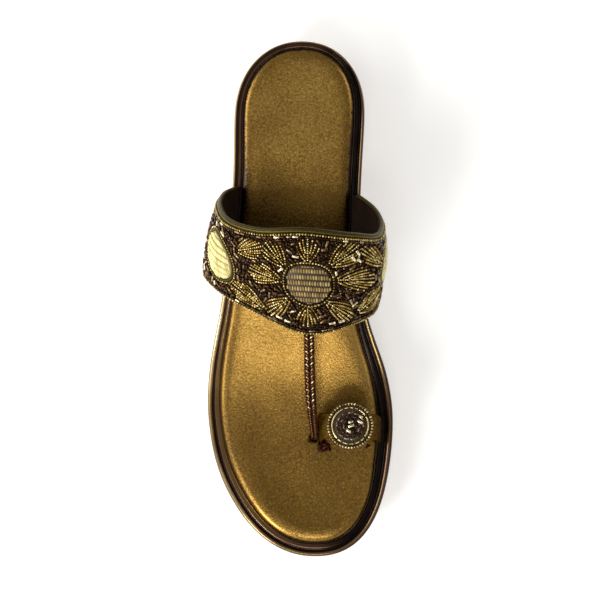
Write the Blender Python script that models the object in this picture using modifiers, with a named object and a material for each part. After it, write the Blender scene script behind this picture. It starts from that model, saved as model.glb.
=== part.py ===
"""A woman's right-foot T-strap sandal on a low wedge.

Run it with blender --background --python part.py, or from Blender's text editor. The toe points along -Y,
the big toe's side is +X and the floor is z = 0. The tables are in millimetres. A station is measured along
the sole from the back of the heel. A height in a strap's table is measured from the deck, the footbed's
nominal top.
"""

import math

import bmesh
import bpy
from mathutils import Vector

MM = 0.001

# Whole sole, seen from above.
LENGTH = 252.0  # EU size 38
HEEL_CAP, HEEL_ROUND = 36.0, 2.15  # length and exponent of the heel's superellipse
TOE_CAP, TOE_ROUND = 75.0, 2.20
ROWS = 36  # stations along the sole
GAP = 0.3  # clearance between neighbouring pieces

# Plan of the rand: centre line, half width, and the rand's breadth on each side of the footbed.
PLAN_COLUMNS = ("station", "centre", "half", "lateral_margin", "medial_margin")
PLAN = (
    (0, 1.0, 31.4, 3.6, 3.6),
    (35, -0.1, 31.8, 4.2, 5.0),
    (65, -1.2, 31.3, 4.6, 5.2),
    (100, -3.0, 32.3, 4.8, 5.4),
    (125, -3.4, 34.7, 5.2, 5.8),
    (140, -3.0, 37.9, 5.6, 6.6),
    (160, -1.1, 43.4, 6.0, 7.6),
    (180, 0.2, 45.7, 6.2, 7.8),
    (205, 1.5, 45.6, 6.6, 7.6),
    (225, 3.7, 45.4, 7.0, 6.8),
    (252, 7.6, 45.8, 6.8, 6.8),
)

# Side view of the sole: the seat is the moulded wedge's top, and the ground its lowest face.
SIDE_COLUMNS = ("station", "seat", "ground")
SIDE = (
    (0, 34.6, 1.6),
    (14, 34.4, 0.0),
    (45, 33.4, 0.0),
    (70, 31.4, 0.0),
    (105, 26.0, 0.0),
    (140, 20.6, 0.0),
    (170, 17.7, 0.0),
    (190, 17.1, 0.0),
    (215, 17.9, 1.4),
    (235, 19.8, 4.1),
    (252, 22.2, 7.4),
)

# Outsole.
DECK_RISE = 5.2  # nominal top of the footbed above the seat
OVERHANG = 0.7  # how far the rand stands out past the wedge
FLARE, FLARE_POWER = 5.0, 1.5  # how far the wall draws in from seat to ground, more and more steeply
RIBS, RIB_PITCH, RIB_DEPTH = 7, 2.6, 0.6
RIB_START, RIB_FULL = 62.0, 118.0  # the top rib grows in between these stations
RIB_LAG = 6.0  # and each lower one this much further forward
RIB_FLOOR = 3.2  # plain wall left under the ribs
EDGE_ROUND = ((2.0, 0.0), (0.6, 0.7), (0.0, 2.2))  # height over the underside, and inset, round its edge
TREAD_STEP = 0.8  # the tread panels stand below the waist
TREAD_ROOT = 2.5  # how far they go up into the wedge
TREAD_INSET = 10.5
TREAD_SLANT = 0.06  # slope of the panels' waist ends, which lie further forward on the medial side
HEEL_TREAD_END, FORE_TREAD_END = 78.0, 139.0

# Rand: each point as a share of its breadth inwards, and a height above the seat.
BEAD = ((0.0, GAP), (0.0, 2.5), (0.07, 3.4), (0.20, 3.9), (0.34, 3.4), (0.43, 1.7), (0.52, 1.7), (0.58, 2.3))
BAND = 2.3  # flat band between the bead's groove and the footbed
STRAP_SEAT = 2.7  # lowest part of a strap

# Footbed: distance in from its own edge, and height above the seat.
ROLL = ((0.0, GAP), (0.0, 2.4), (0.4, 3.5), (1.5, 4.5), (3.4, 5.1), (6.2, 5.4))
ARCH_LIFT, DISH = 1.6, 0.9

# Vamp: lines along it, from its rear to its front edge, as x, station and height. A base has no x of its
# own, because it stands against the footbed.
VAMP = (
    ("lateral_base", (None, 71.0, None), (None, 104.5, None)),
    ("lateral_rise", (-30.0, 71.6, 1.2), (-31.4, 105.4, 1.2)),
    ("lateral_low", (-35.4, 74.2, 9.5), (-39.2, 108.4, 8.0)),
    ("lateral_side", (-37.9, 79.4, 24.0), (-44.8, 113.2, 17.5)),
    ("lateral_shoulder", (-34.8, 87.0, 41.0), (-38.6, 120.8, 27.0)),
    ("lateral_crown", (-20.5, 92.8, 54.6), (-18.6, 132.4, 36.0)),
    ("crown", (2.5, 93.1, 60.3), (4.8, 141.6, 40.6)),
    ("medial_crown", (25.0, 95.4, 55.1), (23.8, 137.4, 36.2)),
    ("medial_shoulder", (36.4, 95.2, 41.5), (34.3, 131.8, 27.0)),
    ("medial_side", (38.5, 88.2, 25.0), (36.3, 124.0, 17.0)),
    ("medial_low", (34.2, 80.6, 9.5), (32.8, 113.2, 8.0)),
    ("medial_rise", (27.4, 75.4, 1.2), (26.0, 106.8, 1.2)),
    ("medial_base", (None, 74.6, None), (None, 106.0, None)),
)
VAMP_WALL, SKIVED_VAMP = 2.3, 1.25  # the wall is skived thin where it enters the sole
VAMP_BULGE = 2.2  # the band is this much rounder than flat between its edges
VAMP_AROUND, VAMP_ACROSS = 40, 7

# Toe loop, laid out in the same way, from its post beside the thong to the medial side.
LOOP = (
    ("post_base", (10.6, 182.4, -3.2), (10.6, 197.2, -3.2)),
    ("post_leg", (10.4, 181.8, 6.0), (10.4, 195.6, 6.0)),
    ("post_shoulder", (12.0, 180.6, 15.6), (12.0, 193.8, 15.6)),
    ("post_crown", (16.8, 180.4, 21.4), (16.8, 193.4, 21.4)),
    ("crown", (24.3, 180.4, 23.2), (24.3, 193.4, 23.2)),
    ("medial_crown", (31.8, 180.6, 21.4), (31.6, 193.6, 21.4)),
    ("medial_shoulder", (36.8, 181.4, 15.6), (36.5, 194.4, 15.6)),
    ("medial_leg", (38.8, 182.6, 6.0), (38.3, 195.8, 6.0)),
    ("medial_base", (None, 183.4, None), (None, 196.8, None)),
)
LOOP_WALL, SKIVED_LOOP, LOOP_BULGE = 1.8, 1.4, 0.3
LOOP_AROUND, LOOP_ACROSS = 26, 3
SKIVE = (0.015, 0.06)  # a strap's wall grows from skived to full between these shares of its length

# Thong, from inside the vamp's front edge down to the footbed.
THONG_COLUMNS = ("x", "station", "height", "breadth", "depth")
THONG = (
    (4.4, 131.0, 41.6, 5.0, 2.0),
    (4.4, 139.5, 39.2, 5.1, 2.0),
    (4.5, 150.0, 35.8, 5.3, 2.2),
    (4.8, 163.0, 30.0, 5.5, 2.2),
    (5.3, 173.5, 24.0, 5.4, 2.2),
    (6.0, 181.5, 17.8, 4.8, 2.3),
    (6.7, 188.0, 10.8, 3.9, 2.5),
    (7.2, 192.4, 3.6, 3.4, 2.7),
    (7.2, 193.5, -3.2, 3.2, 2.7),
)
PLAIT_PITCH, PLAIT_RELIEF, PLAIT_STEPS = 3.6, 0.5, 3
SLOT_DEPTH, SLOT_TOP = 4.1, 4.0  # the straps' slots run this far below and above the deck

# Medallion on the toe loop: its profile as shares of the radius, and heights.
MEDALLION = {"x": 24.3, "station": 186.6, "radius": 11.4, "steps": 32}
MEDALLION_PROFILE = (
    (0.0, 2.8),
    (0.35, 2.65),
    (0.62, 2.1),
    (0.80, 1.5),
    (0.88, 2.0),
    (0.97, 1.75),
    (1.0, 0.8),
    (0.98, 0.0),
    (0.0, 0.0),
)

# Pads of laid thread: place round and across the vamp as shares, and half sizes.
PADS = (
    ("lateral_oval", 0.244, 0.52, 9.4, 11.2),
    ("centre_oval", 0.520, 0.50, 9.8, 9.8),
    ("medial_oval", 0.806, 0.49, 9.4, 11.2),
)
PAD_PROFILE = ((0.5, 0.0), (1.0, 0.0), (1.0, 0.7), (0.9, 1.25), (0.55, 1.5))  # share of the size, and height
PAD_SEGMENTS = 24

# Piping behind the vamp's rear edge.
PIPING_RADIUS, PIPING_GAP = 1.25, 0.4
PIPING_POINTS, PIPING_END = 44, 0.035  # its ends stop this share of the vamp short of its bases

# Colour, roughness and metallic value.
COLOURS = {
    "outsole": ((0.30, 0.20, 0.13), 0.62, 0.0),
    "rand": ((0.20, 0.12, 0.05), 0.16, 0.7),
    "footbed": ((0.33, 0.21, 0.07), 0.42, 0.5),
    "upper": ((0.16, 0.11, 0.04), 0.55, 0.3),
    "rear_piping": ((0.26, 0.21, 0.10), 0.55, 0.3),
    "toe_loop": ((0.24, 0.16, 0.06), 0.40, 0.5),
    "toe_medallion": ((0.30, 0.22, 0.10), 0.40, 0.7),
    "centre_oval": ((0.38, 0.28, 0.16), 0.60, 0.2),
    "lateral_oval": ((0.80, 0.72, 0.45), 0.60, 0.0),
    "medial_oval": ((0.80, 0.72, 0.45), 0.60, 0.0),
}


def hermite(t, span, start, end, slope_in, slope_out):
    """A cubic from start to end over a span, with the given slopes at its ends."""
    return (
        (2 * t**3 - 3 * t**2 + 1) * start
        + (t**3 - 2 * t**2 + t) * span * slope_in
        + (3 * t**2 - 2 * t**3) * end
        + (t**3 - t**2) * span * slope_out
    )


def curve(knots, values, at, overshoot=False):
    """A smooth curve through the values at the knots. Without overshoot it stays level where they do."""
    last = len(knots) - 1
    at = min(max(at, knots[0]), knots[-1])
    k = min(sum(at >= knot for knot in knots) - 1, last - 1)
    step = [knots[i + 1] - knots[i] for i in range(last)]
    rise = [(values[i + 1] - values[i]) / step[i] for i in range(last)]

    def slope(i):
        if i in (0, last):
            return rise[min(i, last - 1)]
        if overshoot:
            return (rise[i - 1] * step[i] + rise[i] * step[i - 1]) / (step[i - 1] + step[i])
        if rise[i - 1] * rise[i] <= 0:
            return 0.0
        return 2 * rise[i - 1] * rise[i] / (rise[i - 1] + rise[i])

    return hermite((at - knots[k]) / step[k], step[k], values[k], values[k + 1], slope(k), slope(k + 1))


def column(table, columns, name, station):
    index = columns.index(name)
    return curve([row[0] for row in table], [row[index] for row in table], station)


def plan(name, station):
    return column(PLAN, PLAN_COLUMNS, name, station)


def seat(station):
    return column(SIDE, SIDE_COLUMNS, "seat", station)


def ground(station):
    return column(SIDE, SIDE_COLUMNS, "ground", station)


def deck(station):
    return seat(station) + DECK_RISE


def step_up(low, high, at):
    """0 below low, 1 above high, and a soft step between."""
    t = min(max((at - low) / (high - low), 0.0), 1.0)
    return t * t * (3 - 2 * t)


def place(x, station, z):
    """A point in metres, from x, station and z in millimetres."""
    return Vector((x, LENGTH / 2 - station, z)) * MM


def half_width(station):
    def cap(distance, length, power):
        return (1 - max(1 - distance / length, 0.0) ** power) ** (1 / power)

    toe = cap(LENGTH - station, TOE_CAP, TOE_ROUND)
    return plan("half", station) * cap(station, HEEL_CAP, HEEL_ROUND) * toe


def outline():
    """The rand's outline as (x, station) pairs, from the heel's tip by the lateral side to the toe and back."""
    stations = [LENGTH * (1 - math.cos(math.pi * i / ROWS)) / 2 for i in range(ROWS + 1)]
    lateral = [(plan("centre", s) - half_width(s), s) for s in stations]
    medial = [(plan("centre", s) + half_width(s), s) for s in stations[-2:0:-1]]
    return lateral + medial


def inward(loop):
    """Unit vectors that point into a closed loop, one at each of its points."""
    found = []
    for i in range(len(loop)):
        x0, s0 = loop[i - 1]
        x1, s1 = loop[(i + 1) % len(loop)]
        along = Vector((x1 - x0, s1 - s0)).normalized()
        found.append((along.y, -along.x))
    return found


def margin(x, station):
    """The rand's breadth at a point of its outline, turned smoothly from side to side at heel and toe."""
    off_centre = (x - plan("centre", station)) / plan("half", station)
    share = step_up(-1.0, 1.0, off_centre)
    return plan("lateral_margin", station) * (1 - share) + plan("medial_margin", station) * share


OUTLINE = outline()
INWARD = inward(OUTLINE)
MARGINS = [margin(x, s) for x, s in OUTLINE]


def ring(inset, height):
    """A ring of (x, station, z) round the sole. Inset is a function of the outline point's index and station,
    and height one of the station of the point itself."""
    points = []
    for i, (x, s) in enumerate(OUTLINE):
        d = inset(i, s)
        inner = s + INWARD[i][1] * d
        points.append((x + INWARD[i][0] * d, inner, height(inner)))
    return points


def stitch_rings(mesh, rings):
    """Faces between neighbouring rings of vertices, each ring closed."""
    for one, following in zip(rings, rings[1:]):
        for i in range(len(one)):
            j = (i + 1) % len(one)
            mesh.faces.new((one[i], one[j], following[j], following[i]))


def span_ring(mesh, rim, columns, height):
    """Closes a ring with rows of faces that run from its lateral to its medial side. Height is a function of
    the station and of the place across, from -1 to 1."""
    rows = len(rim) // 2
    chords = []
    for i in range(1, rows):
        left, right = rim[i], rim[-i]
        between = []
        for c in range(1, columns):
            point = left.co.lerp(right.co, c / columns)
            point.z = height(LENGTH / 2 - point.y / MM, 2 * c / columns - 1) * MM
            between.append(mesh.verts.new(point))
        chords.append([left, *between, right])
    for c in range(columns):
        mesh.faces.new((rim[0], chords[0][c + 1], chords[0][c]))
        mesh.faces.new((chords[-1][c], chords[-1][c + 1], rim[rows]))
    for row, following in zip(chords, chords[1:]):
        for c in range(columns):
            mesh.faces.new((row[c], row[c + 1], following[c + 1], following[c]))


def rings_to_solid(rings, columns, top, bottom):
    """A closed bmesh from rings that run from the top down, closed across at both ends."""
    mesh = bmesh.new()
    made = [[mesh.verts.new(place(*point)) for point in points] for points in rings]
    stitch_rings(mesh, made)
    span_ring(mesh, made[0], columns, top)
    span_ring(mesh, made[-1], columns, bottom)
    return mesh


def new_object(name, mesh, collection):
    """Turns a bmesh into an object, its faces outwards where it is closed."""
    bmesh.ops.recalc_face_normals(mesh, faces=mesh.faces)
    data = bpy.data.meshes.new(name)
    mesh.to_mesh(data)
    mesh.free()
    piece = bpy.data.objects.new(name, data)
    collection.objects.link(piece)
    return piece


def new_cutter(name, mesh, cutters):
    piece = new_object(name, mesh, cutters)
    piece.hide_render = True
    piece.display_type = "WIRE"
    return piece


def finish(piece, sharp_angle):
    """Gives a piece its material, and smooth shading up to an angle in degrees."""
    shade, roughness, metallic = COLOURS[piece.name]
    material = bpy.data.materials.new(piece.name)
    material.use_nodes = True
    surface = material.node_tree.nodes["Principled BSDF"]
    surface.inputs["Base Color"].default_value = (*shade, 1)
    surface.inputs["Roughness"].default_value = roughness
    surface.inputs["Metallic"].default_value = metallic
    piece.data.materials.clear()
    piece.data.materials.append(material)
    if piece.type == "MESH":
        piece.data.shade_smooth()
        piece.data.set_sharp_from_angle(angle=math.radians(sharp_angle))
    return piece


def apply_modifiers(piece):
    """Replaces a piece's mesh by what its modifiers make of it."""
    bpy.context.view_layer.update()
    evaluated = piece.evaluated_get(bpy.context.evaluated_depsgraph_get())
    baked = bpy.data.meshes.new_from_object(evaluated)
    piece.modifiers.clear()
    piece.data = baked


def boolean(piece, other, operation):
    """Joins piece and other, or cuts piece by other, and removes other."""
    modifier = piece.modifiers.new(operation.title(), "BOOLEAN")
    modifier.operation = operation
    modifier.object = other
    apply_modifiers(piece)
    bpy.data.objects.remove(other)


def outsole(parts, cutters):
    """The moulded wedge: a drawn-in wall with ribs that fade towards the heel, and two tread panels below."""

    def underside(s):
        return ground(s) + TREAD_STEP

    def thickness(s):
        return seat(s) - underside(s)

    def wall_inset(share):
        return OVERHANG + FLARE * share**FLARE_POWER

    def rib_line(drop, groove):
        """A ring that lies drop rib pitches below the seat, cut in by groove."""
        start = RIB_START + RIB_LAG * drop

        def depth(s):
            return drop * min(RIB_PITCH, (thickness(s) - RIB_FLOOR) / (RIBS + 0.5))

        def inset(i, s):
            cut = groove * step_up(start, max(RIB_FULL, start + 4 * RIB_LAG), s)
            return wall_inset(depth(s) / thickness(s)) + cut

        return ring(inset, lambda s: seat(s) - depth(s))

    def edge_line(above, inset):
        return ring(
            lambda i, s: wall_inset(1 - above / thickness(s)) + inset,
            lambda s: underside(s) + above,
        )

    rings = [rib_line(0, 0)]
    for k in range(RIBS):
        rings.append(rib_line(k + 0.35, 0))
        rings.append(rib_line(k + 0.75, RIB_DEPTH))
    rings.append(rib_line(RIBS + 0.2, 0))
    rings += [edge_line(above, inset) for above, inset in EDGE_ROUND]
    mesh = rings_to_solid(rings, 4, lambda s, across: seat(s), lambda s, across: underside(s))
    wedge = new_object("outsole", mesh, parts)
    boolean(wedge, tread("heel_tread", HEEL_TREAD_END, -1, cutters), "UNION")
    boolean(wedge, tread("fore_tread", FORE_TREAD_END, 1, cutters), "UNION")
    return finish(wedge, 30)


def tread(name, waist_end, side, cutters):
    """A tread panel: the sole's plan drawn in, a little below the underside, and cut off on a slant at the
    waist. Side is -1 for the panel behind the cut and 1 for the one ahead of it."""

    def root(s):
        return ground(s) + TREAD_STEP + TREAD_ROOT

    rings = [ring(lambda i, s: TREAD_INSET, root), ring(lambda i, s: TREAD_INSET, ground)]
    mesh = rings_to_solid(rings, 4, lambda s, across: root(s), lambda s, across: ground(s))
    bmesh.ops.bisect_plane(
        mesh,
        geom=mesh.verts[:] + mesh.edges[:] + mesh.faces[:],
        plane_co=place(plan("centre", waist_end), waist_end, 0),
        plane_no=Vector((TREAD_SLANT, 1, 0)) * side,
        clear_outer=True,
    )
    bmesh.ops.contextual_create(mesh, geom=[edge for edge in mesh.edges if edge.is_boundary])
    return new_cutter(name, mesh, cutters)


def rand(parts):
    """The ring round the footbed: an outer bead, a groove, then a flat band that the straps stand on."""

    def outer(share, height):
        return ring(lambda i, s: MARGINS[i] * share, lambda s: seat(s) + height)

    def inner(height):
        return ring(lambda i, s: MARGINS[i] - GAP, lambda s: seat(s) + height)

    rings = [outer(share, height) for share, height in BEAD] + [inner(BAND), inner(GAP)]
    mesh = bmesh.new()
    made = [[mesh.verts.new(place(*point)) for point in points] for points in rings]
    stitch_rings(mesh, made + [made[0]])
    return finish(new_object("rand", mesh, parts), 50)


def footbed(parts, cutters):
    """The padded footbed: a soft rolled edge, a dished heel and ball, and a little lift under the arch."""

    def top(s, across):
        arch = ARCH_LIFT * step_up(0.1, 0.9, across) * step_up(55, 95, s) * (1 - step_up(115, 155, s))
        near_end = step_up(10, 34, s) * step_up(10, 34, LENGTH - s)
        waist = step_up(60, 90, s) * (1 - step_up(140, 175, s))
        dish = DISH * (1 - across**2) * near_end * (1 - waist)
        return seat(s) + ROLL[-1][1] + arch - dish

    rings = [
        ring(lambda i, s, inset=inset: MARGINS[i] + inset, lambda s, height=height: seat(s) + height)
        for inset, height in reversed(ROLL)
    ]
    mesh = rings_to_solid(rings, 8, top, lambda s, across: seat(s) + GAP)
    bed = new_object("footbed", mesh, parts)
    for name, centre, size in strap_slots():
        boolean(bed, slot_cutter(name, centre, size, cutters), "DIFFERENCE")
    return finish(bed, 40)


def strap_slots():
    """Name, centre and size of the footbed's slots for the thong's end and for the loop's post."""
    end, _, breadth, depth = thong_section(1.0)
    post = LOOP_BAND.point(0, 0.5)
    return (
        ("thong_slot", end, (breadth + 2 * GAP, depth + 6 * GAP)),
        ("post_slot", post, (LOOP_WALL + 3 * GAP, LOOP_BAND.width(0) + 6 * GAP)),
    )


def slot_cutter(name, centre, size, cutters):
    top, bottom = deck(centre.y) + SLOT_TOP, deck(centre.y) - SLOT_DEPTH
    mesh = bmesh.new()
    bmesh.ops.create_cube(mesh, size=1)
    bmesh.ops.scale(mesh, vec=Vector((size[0], size[1], top - bottom)) * MM, verts=mesh.verts)
    bmesh.ops.translate(mesh, vec=place(centre.x, centre.y, (top + bottom) / 2), verts=mesh.verts)
    return new_cutter(name, mesh, cutters)


def base_x(side, station, wall):
    """x of the middle of a strap's wall where it stands beside the footbed, on side -1 or 1."""
    edge = plan("centre", station) + side * half_width(station)
    return edge - side * (margin(edge, station) - 2 * GAP - wall / 2)


class Strap:
    """A band over the foot, laid through the lines of its table. A place on it is a share of the way round,
    from base to base, and a share of the way across, from its rear edge to its front edge."""

    def __init__(self, table, bulge, base_wall):
        self.bulge = bulge
        self.lines = [[self.resolve(end, k, base_wall) for end in row[1:]] for k, row in enumerate(table)]
        middles = [(rear + front) / 2 for rear, front in self.lines]
        self.knots = [0.0]
        for one, following in zip(middles, middles[1:]):
            self.knots.append(self.knots[-1] + (following - one).length)

    @staticmethod
    def resolve(end, line, base_wall):
        """x, station and z of a line's end, from its row in the table."""
        x, s, height = end
        if x is None:
            return Vector((base_x(-1 if line == 0 else 1, s, base_wall), s, seat(s) + STRAP_SEAT))
        return Vector((x, s, deck(s) + height))

    def point(self, around, across):
        found = Vector((0, 0, 0))
        for axis in range(3):
            values = [rear[axis] * (1 - across) + front[axis] * across for rear, front in self.lines]
            found[axis] = curve(self.knots, values, around * self.knots[-1], overshoot=True)
        turn = math.pi * around
        swell = self.bulge * 4 * across * (1 - across) * math.sin(turn) ** 0.6
        return found + Vector((-math.cos(turn), 0, math.sin(turn))) * swell

    def normal(self, around, across, step=0.004):
        """The unit vector out of the band at a place on it."""
        along = self.point(min(around + step, 1), across) - self.point(max(around - step, 0), across)
        over = self.point(around, min(across + step, 1)) - self.point(around, max(across - step, 0))
        return along.cross(over).normalized()

    def width(self, around):
        return (self.point(around, 1) - self.point(around, 0)).length


VAMP_BAND = Strap(VAMP, VAMP_BULGE, SKIVED_VAMP)
LOOP_BAND = Strap(LOOP, LOOP_BULGE, SKIVED_LOOP)


def shell(name, band, around, across, wall, skived, parts):
    """A strap as a sheet with Solidify, thinner where it enters the sole."""
    mesh = bmesh.new()
    grid = [
        [mesh.verts.new(place(*band.point(a / around, c / across))) for c in range(across + 1)]
        for a in range(around + 1)
    ]
    for a in range(around):
        for c in range(across):
            mesh.faces.new((grid[a][c], grid[a + 1][c], grid[a + 1][c + 1], grid[a][c + 1]))
    piece = new_object(name, mesh, parts)
    group = piece.vertex_groups.new(name="wall")
    for index in range((around + 1) * (across + 1)):
        share = (index // (across + 1)) / around
        full = step_up(*SKIVE, min(share, 1 - share))
        group.add([index], full + (1 - full) * skived / wall, "REPLACE")
    solidify = piece.modifiers.new("Wall", "SOLIDIFY")
    solidify.thickness = wall * MM
    solidify.offset = 0
    solidify.use_even_offset = True
    solidify.vertex_group = group.name
    apply_modifiers(piece)
    return piece


def thong_line():
    """The thong's centre line as (x, station, z) points, and the distance along it to each."""
    places = [Vector((x, s, deck(s) + height)) for x, s, height, _, _ in THONG]
    knots = [0.0]
    for one, following in zip(places, places[1:]):
        knots.append(knots[-1] + (following - one).length)
    return places, knots


def thong_section(share):
    """Centre, direction, breadth and depth of the thong at a share of its length."""
    places, knots = thong_line()

    def centre(at):
        return Vector([curve(knots, [p[axis] for p in places], at) for axis in range(3)])

    at = share * knots[-1]
    ahead = centre(min(at + 0.5, knots[-1])) - centre(max(at - 0.5, 0.0))
    breadth = curve(knots, [row[THONG_COLUMNS.index("breadth")] for row in THONG], at)
    depth = curve(knots, [row[THONG_COLUMNS.index("depth")] for row in THONG], at)
    return centre(at), ahead.normalized(), breadth, depth


def thong(cutters):
    """The plaited strap from the vamp to the toe post: one wall, its strands raised as slanting steps."""
    length = thong_line()[1][-1]
    sections = round(length * PLAIT_STEPS / PLAIT_PITCH)
    mesh = bmesh.new()
    rings = []
    for k in range(sections + 1):
        centre, ahead, breadth, depth = thong_section(k / sections)
        up = Vector((1, 0, 0)).cross(ahead).normalized()
        side = ahead.cross(up)
        crest = []
        for across in (-1.0, -0.55, 0.0, 0.55, 1.0):
            # The two strands are half a pitch apart, and each slants outwards and down.
            phase = k / PLAIT_STEPS + 0.5 * abs(across) + (0.5 if across > 0 else 0.0)
            raised = PLAIT_RELIEF * (1 - phase % 1.0) if 0.1 < abs(across) < 0.9 else 0.0
            height = depth / 2 * (1 - 0.35 * abs(across) ** 3) + raised
            crest.append(centre + side * (across * breadth / 2) + up * height)
        back = [centre + side * (across * breadth / 2) - up * depth / 2 for across in (1.0, 0.0, -1.0)]
        rings.append([mesh.verts.new(place(*point)) for point in crest + back])
    stitch_rings(mesh, rings)
    mesh.faces.new(rings[0])
    mesh.faces.new(rings[-1][::-1])
    return new_cutter("thong", mesh, cutters)


def upper(parts, cutters):
    """The beaded vamp and the plaited thong, sewn into one."""
    piece = shell("upper", VAMP_BAND, VAMP_AROUND, VAMP_ACROSS, VAMP_WALL, SKIVED_VAMP, parts)
    boolean(piece, thong(cutters), "UNION")
    return finish(piece, 35)


def toe_loop(parts):
    """The leather band over the big toe."""
    piece = shell("toe_loop", LOOP_BAND, LOOP_AROUND, LOOP_ACROSS, LOOP_WALL, SKIVED_LOOP, parts)
    return finish(piece, 35)


def toe_medallion(parts):
    """A turned disc with a bead-high rim and a low dome, on the loop's crown."""
    corners = [(share * MEDALLION["radius"] * MM, 0, z * MM) for share, z in MEDALLION_PROFILE]
    data = bpy.data.meshes.new("toe_medallion")
    data.from_pydata(corners, [(i, i + 1) for i in range(len(corners) - 1)], [])
    piece = bpy.data.objects.new("toe_medallion", data)
    parts.objects.link(piece)
    screw = piece.modifiers.new("Turn", "SCREW")
    screw.steps = screw.render_steps = MEDALLION["steps"]
    screw.use_merge_vertices = True
    screw.merge_threshold = 1e-5
    apply_modifiers(piece)
    crown = max(LOOP_BAND.point(a / 40, c / 4).z for a in range(41) for c in range(5))
    piece.location = place(MEDALLION["x"], MEDALLION["station"], crown + LOOP_WALL / 2 + GAP)
    return finish(piece, 40)


def pad(name, around, across, half_round, half_across, parts):
    """A low domed oval that follows the vamp's outer face."""
    mesh = bmesh.new()

    def at(radius, turn, lift):
        a = around + radius * half_round * math.cos(turn) / VAMP_BAND.knots[-1]
        c = across + radius * half_across * math.sin(turn) / VAMP_BAND.width(around)
        out = VAMP_BAND.normal(a, c) * (VAMP_WALL / 2 + GAP + lift)
        return mesh.verts.new(place(*(VAMP_BAND.point(a, c) + out)))

    turns = [2 * math.pi * k / PAD_SEGMENTS for k in range(PAD_SEGMENTS)]
    rings = [[at(radius, turn, lift) for turn in turns] for radius, lift in PAD_PROFILE]
    stitch_rings(mesh, rings)
    for rim, (_, lift) in ((rings[0], PAD_PROFILE[0]), (rings[-1], PAD_PROFILE[-1])):
        hub = at(0, 0, lift)
        for k in range(PAD_SEGMENTS):
            mesh.faces.new((rim[k - 1], rim[k], hub))
    return finish(new_object(name, mesh, parts), 50)


def rear_piping(parts):
    """The bound rear edge: a cord just behind the vamp's wall, from base to base."""
    data = bpy.data.curves.new("rear_piping", "CURVE")
    data.dimensions = "3D"
    data.bevel_depth = PIPING_RADIUS * MM
    data.bevel_resolution = 1
    data.use_fill_caps = True
    spline = data.splines.new("POLY")
    spline.points.add(PIPING_POINTS)
    for k, slot in enumerate(spline.points):
        around = PIPING_END + (1 - 2 * PIPING_END) * k / PIPING_POINTS
        rear = VAMP_BAND.point(around, 0)
        back = (rear - VAMP_BAND.point(around, 0.05)).normalized()
        slot.co = (*place(*(rear + back * (PIPING_RADIUS + PIPING_GAP))), 1)
    piece = bpy.data.objects.new("rear_piping", data)
    parts.objects.link(piece)
    return finish(piece, 30)


def centre_on_floor(parts):
    """Moves the whole sandal so that the origin is under the middle of its box, on the floor."""
    bpy.context.view_layer.update()
    graph = bpy.context.evaluated_depsgraph_get()
    corners = []
    for piece in parts.objects:
        mesh = piece.evaluated_get(graph).to_mesh()
        corners += [piece.matrix_world @ vertex.co for vertex in mesh.vertices]
    low = [min(corner[axis] for corner in corners) for axis in range(3)]
    high = [max(corner[axis] for corner in corners) for axis in range(3)]
    for piece in parts.objects:
        piece.location -= Vector(((low[0] + high[0]) / 2, (low[1] + high[1]) / 2, low[2]))


def build():
    for old in list(bpy.data.objects):
        bpy.data.objects.remove(old)
    parts = bpy.data.collections.new("T-strap wedge sandal")
    cutters = bpy.data.collections.new("cutters")
    for collection in (parts, cutters):
        bpy.context.scene.collection.children.link(collection)
    outsole(parts, cutters)
    rand(parts)
    footbed(parts, cutters)
    upper(parts, cutters)
    rear_piping(parts)
    toe_loop(parts)
    toe_medallion(parts)
    for row in PADS:
        pad(*row, parts)
    centre_on_floor(parts)


build()
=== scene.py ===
import math
import random

import bpy
import numpy as np
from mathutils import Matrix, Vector


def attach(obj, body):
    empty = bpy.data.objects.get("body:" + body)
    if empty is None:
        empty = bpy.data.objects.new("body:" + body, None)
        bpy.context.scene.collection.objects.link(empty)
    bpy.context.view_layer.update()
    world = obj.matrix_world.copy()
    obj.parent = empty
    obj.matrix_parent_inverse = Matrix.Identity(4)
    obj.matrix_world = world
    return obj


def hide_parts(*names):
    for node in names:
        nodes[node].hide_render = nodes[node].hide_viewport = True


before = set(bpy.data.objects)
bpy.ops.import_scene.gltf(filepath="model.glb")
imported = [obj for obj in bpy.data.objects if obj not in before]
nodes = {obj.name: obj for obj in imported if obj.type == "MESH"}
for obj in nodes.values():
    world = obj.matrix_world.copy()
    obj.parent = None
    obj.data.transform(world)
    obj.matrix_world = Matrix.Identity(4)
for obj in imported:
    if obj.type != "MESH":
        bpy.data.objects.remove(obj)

for extra in [o for o in bpy.data.objects if o.type in ("MESH", "LIGHT", "CAMERA") and o.name not in nodes]:
    bpy.data.objects.remove(extra)
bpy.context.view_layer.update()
mm = 0.001
dice = random.Random(38)
print("frame loaded:", len(nodes), "solids")


# small helpers for objects and edit mode

def pick(piece):
    # only this piece is selected and active
    bpy.ops.object.select_all(action="DESELECT")
    bpy.context.view_layer.objects.active = piece
    piece.select_set(True)


def started(add, **settings):
    # a new primitive, with nothing else selected and its place in its mesh
    bpy.ops.object.select_all(action="DESELECT")
    add(**settings)
    bpy.ops.object.transform_apply(location=True, rotation=True, scale=True)
    return bpy.context.object


def editAll(piece):
    pick(piece)
    bpy.ops.object.mode_set(mode="EDIT")
    bpy.ops.mesh.select_all(action="SELECT")


def editFaces(piece, wanted):
    # edit mode, with only the wanted faces selected
    editAll(piece)
    bpy.ops.mesh.select_mode(type="FACE")
    bpy.ops.mesh.select_all(action="DESELECT")
    editDone()
    for face in piece.data.polygons:
        face.select = wanted(face)
    bpy.ops.object.mode_set(mode="EDIT")


def editDone():
    bpy.ops.object.mode_set(mode="OBJECT")


def facesOut(piece):
    editAll(piece)
    bpy.ops.mesh.normals_make_consistent(inside=False)
    editDone()


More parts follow.
